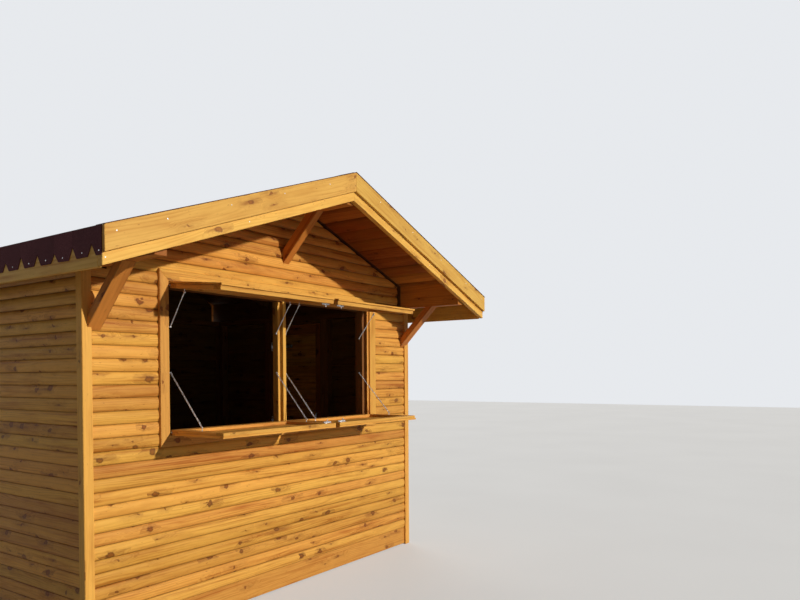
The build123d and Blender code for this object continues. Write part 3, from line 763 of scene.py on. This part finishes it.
def stud_x(c, y, z0=STUD_Z0, z1=STUD_Z1):
    """Upright of a front or back frame, centred on x = c."""
    return ((c - STUD_W / 2, c + STUD_W / 2), y, (z0, z1), "z")


def stud_y(c, x):
    """Upright of a side frame, centred on y = c."""
    return (x, (c - STUD_W / 2, c + STUD_W / 2), (STUD_Z0, STUD_Z1), "z")


end_stud = POST_X - STUD_W / 2
across = (-POST_X, POST_X)
depth = (-FRAME_Y, STUD_D - FRAME_Y)
bars = plates(across, depth, "x")
for s, clear in zip((-1, 1), CLEAR):
    bars += [stud_x(s * end_stud, depth), stud_x(clear + s * STUD_W / 2, depth)]
    bars += [stud_x(clear / 2, depth, STUD_Z0, CLEAR_Z0 - STUD_W)]
bars += [(CLEAR, depth, (CLEAR_Z0 - STUD_W, CLEAR_Z0), "x"), (CLEAR, depth, (CLEAR_Z1, STUD_Z1), "x")]
framed("front_studs", "front_frame", bars)

depth = (FRAME_Y - STUD_D, FRAME_Y)
bars = plates(across, depth, "x") + [stud_x(share * end_stud, depth) for share in (-1, -0.5, 0, 0.5, 1)]
framed("back_studs", "back_frame", bars)

side_y = HALF_D - WALL
end_stud = side_y - STUD_W / 2
across = (-side_y, side_y)
depth = (-BEAM_OUT, -BEAM_IN)
bars = plates(depth, across, "y") + [stud_y(share * end_stud, depth) for share in (-1, -0.33, 0.33, 1)]
framed("left_studs", "left_frame", bars)

depth = (BEAM_IN, BEAM_OUT)
bars = [(depth, across, (STUD_Z1, BEAM_Z), "y"), (depth, (DOOR_Y0, DOOR_Y1), (DOOR_Z, STUD_Z1), "y")]
for edge, s in ((DOOR_Y0, -1), (DOOR_Y1, 1)):
    bars += [(depth, (edge, s * side_y), (DECK, STUD_Z0), "y"), stud_y(s * end_stud, depth)]
    bars += [stud_y(edge + s * STUD_W / 2, depth), stud_y(edge + s * STUD_W * 1.5, depth)]
framed("right_studs", "right_frame", bars)


# Hatch casing and mullion
def mitred(inner, outer):
    """Outlines and grains of four boards with mitred corners, between two rectangles (x0, x1, z0, z1)."""
    a, b = box(*inner), box(*outer)
    return [([b[k], b[k + 1], a[k + 1], a[k]], Z if k % 2 else X) for k in range(-4, 0)]


casing = Piece("hatch_casing_boards")
edge = (*CASING, HATCH_Z0, HATCH_Z1)
for outline, grain in mitred(edge, (*CASING_OUT, HATCH_Z0 - CASING_RIM, HATCH_Z1 + CASING_RIM)):
    casing.profile(outline, FLAP_Y, WALL_Y, 0.0018, grain, 0.55 + 0.3 * rng.random())
for outline, grain in mitred((*SIDING_CUT, *SIDING_Z), edge):
    casing.profile(outline, WALL_Y - 0.005, WALL_Y, 0.0008, grain, 0.7)
casing.done(JOINERY, ("hatch_casing",))

# Mullion with a batten in front, both with painted shade on the faces behind their front faces
MULLION = 0.039
mullion = Piece("mullion")
back_y = WALL - HALF_D
joint_y = back_y - 0.051
for half, y0, y1, tone in ((MULLION, joint_y, back_y, 0.8), (0.015, joint_y - 0.026, joint_y, 0.95)):
    mullion.prism(box(-half, half, y0, y1), ORIGIN, X, Y, CLEAR_Z0, CLEAR_Z1, tone=tone,
                  groove=lambda p: 0.0 if p.y < y0 + 0.001 else 0.75)
mullion.done(JOINERY, ("hatch_mullion",))

# Flaps: hinge line, way down from it and way out of the weather side
DROOP = radians(5.7)
droop_y, droop_z = -cos(DROOP), -sin(DROOP)
UPPER = (Vector((0, FLAP_Y, HATCH_Z1)), Vector((0, droop_y, droop_z)), Vector((0, droop_z, -droop_y)))
LOWER = (Vector((0, FLAP_Y, HATCH_Z0)), -Y, -Z)
STRIP = 0.030
RAIL = 0.060


def slab(piece, place, x, d, w, grain=X, c=0.0015, tone=None):
    """Flat bar on a flap: x across the front, d down from the hinge line, w out of its weather side."""
    origin, down, face = place
    turn = 1 if X.cross(down).dot(face) > 0 else -1
    outline = box(*sorted(x), *sorted(d))
    piece.prism(outline, origin, X, down, *sorted((turn * w[0], turn * w[1])), c, grain, tone)


def flap(word, node, place, side, thick, groove):
    """Flap of half-round boards in an edging, on a frame of rails."""
    origin, down, face = place
    near, far = FLAP_NEAR, FLAP_FAR[side]
    skin = Piece(word + "_boards")
    inner = (STRIP, FLAP_LEN - STRIP)
    for d in ((0, STRIP), (FLAP_LEN - STRIP, FLAP_LEN)):
        slab(skin, place, (side * near, side * far), d, (-SKIN, 0), tone=0.75)
    for x in (near, far - STRIP):
        slab(skin, place, (side * x, side * (x + STRIP)), inner, (-SKIN, 0), down, tone=0.75)
    ends = sorted((side * (near + STRIP), side * (far - STRIP)))
    d = STRIP
    while d < inner[1] - 0.01:
        board = (d, min(d + ROW, inner[1]), d)
        skin.half_log((origin, X, down, face), *board, lambda v: ends, (-0.001, -0.0065, -SKIN))
        d += ROW
    skin.done(PINE)
    rails = Piece(word + "_rails")
    end = far - FLAP_INSET[side]
    depths = (-thick, -SKIN - groove)
    front = FLAP_LEN - 2 * groove
    for d, tone in (((0, RAIL), 0.7), ((front - RAIL, front), 0.9)):
        slab(rails, place, (side * near, side * end), d, depths, tone=tone)
    for x in (near, end - RAIL):
        slab(rails, place, (side * x, side * (x + RAIL)), (RAIL, front - RAIL), depths, down, tone=0.7)
    if groove:
        x = (side * (near + 0.012), side * (end - 0.012))
        slab(rails, place, x, (0.004, front - 0.012), (depths[1], -SKIN), c=0, tone=0.2)
    rails.done(JOINERY, (node,))


for side, word in SIDES:
    flap("upper_" + word, "upper_flap_" + word, UPPER, side, UPPER_THICK, 0.003)
    flap("lower_" + word, "lower_flap_" + word, LOWER, side, LOWER_THICK, 0.0)

# Side door, with its boards outside and rails inside
DOOR_RAIL = 0.09
DOOR_GAP = 0.008
DOOR_SKIN = 0.022
leaf_y = (DOOR_Y0 + DOOR_GAP, DOOR_Y1 - DOOR_GAP)
leaf_z = (DECK + DOOR_GAP, DOOR_Z - DOOR_GAP)
leaf_x = HALF_W - SETBACK - 0.005
leaf = Piece("door_boards")
for a, b, row in rows(*leaf_z):
    tongue = b < leaf_z[1] - 0.02
    leaf.half_log((X * leaf_x, Y, Z, X), a, b, row, lambda v: leaf_y, (0.0, -0.010, -DOOR_SKIN), tongue)
leaf.done(PINE, body="door")
rails = Piece("door_rails")
rail_x = (leaf_x - 0.042, leaf_x - DOOR_SKIN)
inner_y = (leaf_y[0] + DOOR_RAIL, leaf_y[1] - DOOR_RAIL)
middle = (leaf_z[0] + leaf_z[1]) / 2
for y in ((leaf_y[0], inner_y[0]), (inner_y[1], leaf_y[1])):
    rails.bar(rail_x, y, leaf_z, "z")
for z in (leaf_z[0] + DOOR_RAIL / 2, middle, leaf_z[1] - DOOR_RAIL / 2):
    rails.bar(rail_x, inner_y, (z - DOOR_RAIL / 2, z + DOOR_RAIL / 2), "y")
rails.done(DOOR, ("door_leaf",), "door")

door_frame = Piece("door_casing_boards")
y0, y1, z1 = DOOR_Y0 + 0.015, DOOR_Y1 - 0.015, DOOR_Z - 0.015
out_y0, out_y1, out_z1 = y0 - CASING_RIM, y1 + CASING_RIM, z1 + CASING_RIM
for outline, grain in (
    ([(out_y0, PLINTH_TOP), (y0, PLINTH_TOP), (y0, z1), (out_y0, out_z1)], Z),
    ([(out_y0, out_z1), (y0, z1), (y1, z1), (out_y1, out_z1)], Y),
    ([(y1, PLINTH_TOP), (out_y1, PLINTH_TOP), (out_y1, out_z1), (y1, z1)], Z),
):
    door_frame.prism(outline, X * (HALF_W - SETBACK), Y, Z, 0, CASING_THICK, 0.0018, grain)
door_frame.done(JOINERY, ("door_casing",))

# Roof timbers, with painted room shade within the walls and none outside the wall boards
INSIDE_Y = HALF_D - 0.009


def stretches(front, back):
    """Stretches of a timber along y, each with its groove value."""
    return ((front, -INSIDE_Y, 0.0), (-INSIDE_Y, INSIDE_Y, ROOM_SHADE), (INSIDE_Y, back, 0.0))


def under_roof(s, x0, x1, low):
    """Outline of a timber from a level foot up to the roof boards."""
    return [(s * x0, low), (s * x1, low), (s * x1, roof(x1, DECK_DROP)), (s * x0, roof(x0, DECK_DROP))]


def along_roof(s, x0, x1, top, bottom):
    """Outline of a timber along the slope, between two drops below the roof."""
    return [(s * x, roof(x, drop)) for x, drop in box(x0, x1, top, bottom)]


beams = Piece("beams")
for s in (-1, 1):
    tone = rng.random()
    for y0, y1, room_shade in stretches(BEAM_FRONT, BEAM_BACK):
        beams.profile(under_roof(s, BEAM_IN, BEAM_OUT, BEAM_Z), y0, y1, tone=tone,
                      groove=lambda p: room_shade if abs(p.x) < BEAM_MID else 0.0)
beams.done(BEAM, ("eave_beams",))

ridge = Piece("ridge_timber")
outline = [(x, RIDGE_Z) for x in (-RIDGE_HALF, RIDGE_HALF)]
outline += [(x, roof(x, DECK_DROP)) for x in (RIDGE_HALF, 0, -RIDGE_HALF)]
for y0, y1, room_shade in stretches(BEAM_FRONT, BEAM_BACK):
    ridge.profile(outline, y0, y1, tone=0.5, groove=lambda p: room_shade)
ridge.done(BEAM, ("ridge_beam",))

# Diagonal brackets: middle, height of the beam's underside, width and thickness
BRACKETS = ((-1.430, BEAM_Z, 0.080, 0.050), (0, RIDGE_Z, 0.056, 0.070), (1.430, BEAM_Z, 0.080, 0.050))
BRACKET_LEG = 0.33
brackets = Piece("brackets")
for middle, head, width, thick in BRACKETS:
    side = thick * sqrt(2)
    foot, tip = head - BRACKET_LEG, WALL_Y - BRACKET_LEG
    outline = [(WALL_Y, foot), (WALL_Y, foot + side), (tip + side, head), (tip, head)]
    tone = 0.35 + 0.4 * rng.random()
    brackets.prism(outline, ORIGIN, Y, Z, middle - width / 2, middle + width / 2, 0.0025, (0, -1, 1), tone)
brackets.done(BEAM, ("roof_brackets",))

# Rafters, bargeboards and roof boards of each slope
ROOF_BOARDS = 13
INNER_RAFTERS = (-0.4, 0.4)
for s, word in SIDES:
    down = (s * COS, 0, -SIN)
    rafters = Piece("rafters_" + word + "_timber")
    outline = along_roof(s, 0, EAVE_X, DECK_DROP, DECK_DROP + RAFTER_HIGH)
    for y0, y1 in ((RAFTER_FRONT, BEAM_FRONT), (BEAM_BACK, RAFTER_BACK)):
        rafters.profile(outline, y0, y1, grain=down, tone=0.8)
    # Inner rafters, within the room, carry its painted shade
    outline = along_roof(s, RIDGE_HALF, BEAM_IN, DECK_DROP, DECK_DROP + 0.090)
    for y in INNER_RAFTERS:
        rafters.profile(outline, y - RAFTER / 2, y + RAFTER / 2, grain=down, groove=lambda p: ROOM_SHADE)
    rafters.done(TRIM, ("rafters_" + word,))
    barge = Piece("bargeboard_" + word)
    outline = along_roof(s, 0, EAVE_X, 0, BARGE_HIGH)
    for y0, y1 in ((ROOF_FRONT, RAFTER_FRONT), (RAFTER_BACK, ROOF_BACK)):
        barge.profile(outline, y0, y1, grain=down, tone=0.75 + 0.15 * rng.random())
    barge.done(TRIM, ("bargeboards_" + word,))
    soffit = Piece("soffit_boards_" + word)
    for k in range(ROOF_BOARDS):
        x0, x1 = EAVE_X * k / ROOF_BOARDS, EAVE_X * (k + 1) / ROOF_BOARDS
        # Painted shade: each roof board darkens towards its upper edge by a random share, and within the
        # walls it takes the room's painted shade
        shade = rng.uniform(0.7, 1.0)
        tone = rng.random()
        outline = along_roof(s, x0 + 0.0012, x1 - 0.0012, SHINGLE_DROP, DECK_DROP)
        for y0, y1, room_shade in stretches(RAFTER_FRONT, RAFTER_BACK):
            soffit.profile(outline, y0, y1, 0.005, tone=tone,
                           groove=lambda p: room_shade or shade * (x1 - abs(p.x)) / (x1 - x0))
    soffit.done(SOFFIT, ("roof_boards_" + word,))

fascia = Piece("fascias")
fascia_z = roof(EAVE_X, DECK_DROP) - 0.152
for s in (-1, 1):
    fascia.profile(under_roof(s, EAVE_X - 0.020, EAVE_X, fascia_z), BEAM_FRONT, BEAM_BACK)
fascia.done(TRIM, ("eave_fascias",))

# Shingles in courses of hexagonal tabs, with strips along the verges
ROOF_LEN = RAFTER_BACK - RAFTER_FRONT
TABS = round(ROOF_LEN / 0.156)
TAB = ROOF_LEN / TABS
FLANK = (TAB - 0.088) / 2
EXPOSED = 0.068
VERGE = 0.33
VERGE_LAP = 0.045
VERGES = ((ROOF_FRONT - 0.003, RAFTER_FRONT + VERGE_LAP), (RAFTER_BACK - VERGE_LAP, ROOF_BACK + 0.003))


def facing(ax, ay, normal, thick):
    """Depths that lay a thickness on the side of the normal."""
    return (0, thick) if ax.cross(ay).dot(normal) > 0 else (-thick, 0)


def slope_ways(s):
    """Ways down a slope and out of it."""
    return Vector((s * COS, 0, -SIN)), Vector((s * SIN, 0, COS))


for s, word in SIDES:
    cover = Piece("shingle_courses_" + word)
    down, normal = slope_ways(s)
    board_top = Z * (APEX - SHINGLE_DROP)
    for k in range(int(SLOPE_LEN / EXPOSED) + 1):
        tip = SLOPE_LEN - k * EXPOSED
        head = max(0.0, tip - 2.1 * EXPOSED)
        root = max(head + 0.001, tip - EXPOSED)
        reach = tip - head
        if reach < 0.02:
            continue
        shift = TAB / 2 if k % 2 else 0.0
        strip_tone = rng.random()
        for i in range(-1, TABS + 1):
            if i % 4 == 0:
                strip_tone = rng.random()
            y = RAFTER_FRONT + i * TAB + shift
            outline = [(y, head), (y + TAB, head), (y + TAB, root)]
            outline += [(y + TAB - FLANK, tip), (y + FLANK, tip), (y, root)]
            outline = clip(outline, RAFTER_FRONT + 0.0005, RAFTER_BACK - 0.0005)
            if not outline:
                continue
            tilt = atan2(0.0036 + rng.uniform(0, 0.0008), reach)
            lie = (down * cos(tilt) + normal * sin(tilt)).normalized()
            start = board_top + down * head + normal * 0.0004
            outline = [(p[0], p[1] - head) for p in outline]
            tone = (strip_tone + rng.random()) / 2
            depths = facing(Y, lie, normal, 0.0034)
            # The groove value rises from the tab's tip to its head, for the painted shade under the course
            # above
            cover.prism(outline, start, Y, lie, *depths, 0.0, Y, tone, lambda p: 1 - p.y / reach)
    start = Z * APEX + normal * 0.0002
    for y0, y1 in VERGES:
        for k in range(int(SLOPE_LEN / VERGE) + 1):
            low, high = k * VERGE, min((k + 1) * VERGE - 0.0015, SLOPE_LEN)
            cover.prism(box(y0, y1, low, high), start, Y, down, *facing(Y, down, normal, 0.003), 0.0, Y)
    cover.done(SHINGLE, ("shingles_" + word,), angle=30)

ridge_tabs = Piece("ridge_tabs")
steps = 24
pitch = ROOF_LEN / steps
for k in range(steps):
    y0 = RAFTER_FRONT + k * pitch
    length = min(y0 + pitch * 1.25, RAFTER_BACK) - y0
    tone = rng.random()
    for s in (-1, 1):
        down, normal = slope_ways(s)
        start = Vector((0, y0, APEX)) + normal * 0.0023
        along = (Y - normal * (0.0026 / length)).normalized()
        width = 0.125 / COS - 0.004 * rng.random()
        depths = facing(along, down, normal, 0.0032)
        ridge_tabs.prism(box(0, length, 0, width), start, along, down, *depths, 0.0, Y, tone)
ridge_tabs.done(RIDGE, ("ridge_cap",), angle=30)

# Fringe of hanging tongues with a nail in each
TONGUE_THICK = 0.0035
fringe = Piece("fringe_tongues")
nails = Piece("fringe_nails")
eave_z = roof(EAVE_X)
tip_z = eave_z - 0.1305
for s in (-1, 1):
    strip_tone = rng.random()
    root = tip_z + 0.050
    for i in range(TABS + 1):
        if i % 5 == 0:
            strip_tone = rng.random()
        y = RAFTER_FRONT + (i - 0.5) * TAB
        tips = [tip_z + rng.uniform(-0.002, 0.002) for _ in range(2)]
        outline = [(y, root), (y + FLANK, tips[0]), (y + TAB - FLANK, tips[1])]
        root = tip_z + rng.uniform(0.040, 0.060)
        outline += [(y + TAB, root), (y + TAB, eave_z), (y, eave_z)]
        outline = clip(outline, RAFTER_FRONT + 0.0003, RAFTER_BACK - 0.0003)
        depths = sorted((s * EAVE_X, s * (EAVE_X + TONGUE_THICK)))
        fringe.prism(outline, ORIGIN, Y, Z, *depths, 0.0, Y, (strip_tone + rng.random()) / 2)
        nail_y = y + TAB / 2 + rng.uniform(-0.006, 0.006)
        nail_y = min(max(nail_y, RAFTER_FRONT + 0.02), RAFTER_BACK - 0.02)
        nail_z = tip_z + 0.018 + rng.uniform(-0.004, 0.004)
        dome(nails, (s * (EAVE_X + TONGUE_THICK - 0.0001), nail_y, nail_z), (s, 0, 0), 0.0034, 0.0013)
fringe.done(FRINGE, ("eave_fringes",), angle=30)
nails.done(STEEL)

# Chains and stays: x of their wall end, of their flap end and of the face that the wall end is screwed to
ANCHORS = (
    (-0.914, -0.914, CLEAR[0]),
    (-0.045, -0.045, -MULLION),
    (0.045, 0.045, MULLION),
    (0.882, 0.908, CLEAR[1]),
)
ANCHOR_Y = 0.066 - HALF_D
SHANK = 0.0022
FOOT = 0.019
CHAIN_EYE = (0.0065, 0.0016)
STAY_EYE = (0.0062, 0.0020)
LINK_PITCH = 0.0165
SCREW = (0.0065, 0.0018)


def on_flap(place, x, along, below):
    """Point on a flap: x across the front, along from the hinge line, below its weather side."""
    origin, down, face = place
    return origin + X * x + down * along - face * below


def wall_eye(piece, place, face_x, radius, wire):
    """Screw eye between a stud's face and the end of a stay or chain."""
    link(piece, place, Z, Y, 2 * radius, 2 * radius, wire)
    out = X * copysign(1, face_x - place.x)
    foot = Vector((face_x, place.y, place.z))
    tube(piece, foot + out * 0.003, place + out * 0.5 * radius, SHANK)
    dome(piece, foot - out * 0.0004, -out, *SCREW)


def flap_eye(piece, place, plate, radius, wire):
    """Screw eye standing on a flap's inner face."""
    out = -plate[2]
    link(piece, place, out, Y, 2 * radius, 2 * radius, wire)
    foot = place - out * FOOT
    tube(piece, foot, place - out * radius * 0.8, SHANK)
    dome(piece, foot, out, *SCREW)


def chain(piece, top, foot):
    """Links from top to foot, every second one turned."""
    way = foot - top
    count = round(way.length / LINK_PITCH)
    for i in range(count):
        flat = X if i % 2 else way.cross(X).normalized()
        link(piece, top + way * ((i + 0.5) / count), way, flat, way.length / count + 0.0052, 0.0100, 0.0015)


def stay(piece, low, high):
    """Gas strut with its tube below, a rod, a collar above and a round end plate at each eye."""
    tube(piece, low, low.lerp(high, 0.54), 0.0042)
    tube(piece, low.lerp(high, 0.52), high, 0.0022)
    tube(piece, low.lerp(high, 0.88), high, 0.0034)
    for place in (low, high):
        tube(piece, place - X * 0.0045, place + X * 0.0045, 0.0062, 16)


chains = Piece("chains")
stays = Piece("stays")
for wall_x, flap_x, face_x in ANCHORS:
    top = Vector((wall_x, ANCHOR_Y, HATCH_Z0 + 0.364))
    foot = on_flap(LOWER, flap_x, 0.208, LOWER_THICK + 0.018)
    chain(chains, top, foot)
    wall_eye(chains, top, face_x, *CHAIN_EYE)
    flap_eye(chains, foot, LOWER, *CHAIN_EYE)
    low = Vector((wall_x, ANCHOR_Y, HATCH_Z1 - 0.259))
    high = on_flap(UPPER, flap_x, 0.070, UPPER_THICK + 0.018)
    stay(stays, low, high)
    wall_eye(stays, low, face_x, *STAY_EYE)
    flap_eye(stays, high, UPPER, *STAY_EYE)
chains.done(STEEL, ("flap_chains",), angle=60)
stays.done(STEEL, ("flap_stays",), angle=40)

# Hinges of three knuckles
HINGES = ((-0.972, -0.915), (-0.090, -0.033), (0.033, 0.090), (0.882, 0.938))
hinges = Piece("butt_hinges")
pin_y = FLAP_Y - 0.0015
for z in (HATCH_Z1 - 0.022, HATCH_Z0 + 0.018):
    for x0, x1 in HINGES:
        knuckle = (x1 - x0) / 3
        for k in range(3):
            x = x0 + k * knuckle
            tube(hinges, (x + 0.0004, pin_y, z), (x + knuckle - 0.0004, pin_y, z), 0.0048)
hinges.done(STEEL, ("flap_hinges",), angle=50)

# Barrel bolts at the flaps' free edges, each with a plate, two saddles, a rod and a knob
bolts = Piece("barrel_bolts")
for place, thick in ((UPPER, UPPER_THICK), (LOWER, LOWER_THICK)):
    inward = -place[2]
    lean = (inward + place[1] * 0.6).normalized()
    for x, side in ((-0.072, 1), (0.078, -1)):
        d = FLAP_LEN - 0.034
        slab(bolts, place, (x - 0.030, x + 0.030), (d - 0.013, d + 0.013), (-thick - 0.002, -thick), c=0.0004)
        for shift in (-0.018, 0.018):
            saddle = (x + shift - 0.005, x + shift + 0.005)
            slab(bolts, place, saddle, (d - 0.009, d + 0.009), (-thick - 0.0105, -thick - 0.0015), c=0.0025)
            for across in (-0.0095, 0.0095):
                screw = on_flap(place, x + shift * 1.35, d + across, thick + 0.002)
                dome(bolts, screw, inward, 0.0026, 0.001)
        axis = on_flap(place, x, d, thick + 0.006)
        tube(bolts, axis - X * 0.034 * side, axis + X * 0.036 * side, 0.0042)
        knob = axis - X * 0.004 * side
        tube(bolts, knob, knob + lean * 0.016, 0.003)
        dome(bolts, knob + lean * 0.016, lean, 0.0042, 0.004)
bolts.done(STEEL, ("flap_bolts",), angle=50)

for name in ("door_hinge_plates", "door_straps", "door_handles"):
    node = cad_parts[name]
    node.data.materials.clear()
    node.data.materials.append(STEEL)

# Screws in the bargeboards and in the rafters behind them
HEAD = (0.0034, 0.0010)
heads = Piece("bargeboard_screws")
for y, out in ((ROOF_FRONT, -1), (ROOF_BACK, 1)):
    for s in (-1, 1):
        for x in (0.26, 0.65, 1.04, 1.43, 1.694):
            dome(heads, (s * x, y, roof(x, 0.038 + rng.uniform(-0.004, 0.004))), (0, out, 0), *HEAD)
        for x in (0.9, 1.738):
            dome(heads, (s * x, y - out * BARGE, roof(x, 0.146)), (0, out, 0), *HEAD)
heads.done(STEEL)

# Stage: the floor
paving = Material("floor")
patches = paving.noise(paving.place(), 0.6)
colour = paving.mix(patches, rgb((0.35, 0.345, 0.335)), rgb((0.38, 0.375, 0.365)))
glow = paving.times(paving.seen_directly(), 1.1)
paving.set(Base_Color=colour, Roughness=0.9, Emission_Color=colour, Emission_Strength=glow)
bpy.ops.mesh.primitive_plane_add(size=60, location=(0, 0, -0.0005))
ground = bpy.context.object
ground.name = "ground"
ground.data.materials.append(paving.material)

# Dim sky that lights the hut, and a pale one that the camera sees
world = bpy.data.worlds.new("studio")
scene.world = world
sky = Nodes(world)
dim = sky.new("Background", Color=rgb((0.86, 0.92, 1.0)), Strength=0.13)
pale = sky.new("Background", Color=rgb((0.80, 0.82, 0.85)), Strength=1.0)
mixer = sky.new("MixShader")
for i, source in enumerate((sky.seen_directly(), dim.outputs[0], pale.outputs[0])):
    sky.put(mixer.inputs[i], source)
sky.put(sky.new("OutputWorld").inputs[0], mixer.outputs[0])


def sunlight(name, energy, colour, way, spread):
    """Distant lamp that shines along a direction."""
    lamp = bpy.data.lights.new(name, "SUN")
    lamp.energy = energy
    lamp.color = colour
    lamp.angle = radians(spread)
    holder = bpy.data.objects.new(name, lamp)
    holder.rotation_mode = "QUATERNION"
    holder.rotation_quaternion = Vector(way).to_track_quat("-Z", "Y")
    scene.collection.objects.link(holder)


sunlight("key", 2.8, (1.0, 0.95, 0.86), (-0.21, 0.94, -0.27), 1.5)
sunlight("fill", 0.9, (0.95, 0.97, 1.0), (-0.5, -0.68, -0.54), 40)

# Camera, fitted to the photograph: its size, focal length and optical centre are in pixels
PHOTO = (800, 600)
FOCAL = 680.14
CENTRE = (402.32, 385.79)
EYE = (-3.451, -4.578, 1.477)
YAW, LIFT, ROLL = (radians(a) for a in (55.378, -0.877, -0.336))
optics = bpy.data.cameras.new("camera")
optics.sensor_width = 36.0
optics.lens = FOCAL / PHOTO[0] * 36.0
optics.shift_x = (PHOTO[0] / 2 - CENTRE[0]) / PHOTO[0]
optics.shift_y = (CENTRE[1] - PHOTO[1] / 2) / PHOTO[0]
optics.clip_end = 200
camera = bpy.data.objects.new("camera", optics)
scene.collection.objects.link(camera)
ahead = Vector((sin(YAW) * cos(LIFT), cos(YAW) * cos(LIFT), sin(LIFT)))
level = Vector((cos(YAW), -sin(YAW), 0))
upright = level.cross(ahead)
right = level * cos(ROLL) + upright * sin(ROLL)
up = -level * sin(ROLL) + upright * cos(ROLL)
camera.matrix_world = Matrix([(right[i], up[i], -ahead[i], EYE[i]) for i in range(3)] + [(0, 0, 0, 1)])
scene.camera = camera
scene.view_settings.view_transform = "Standard"
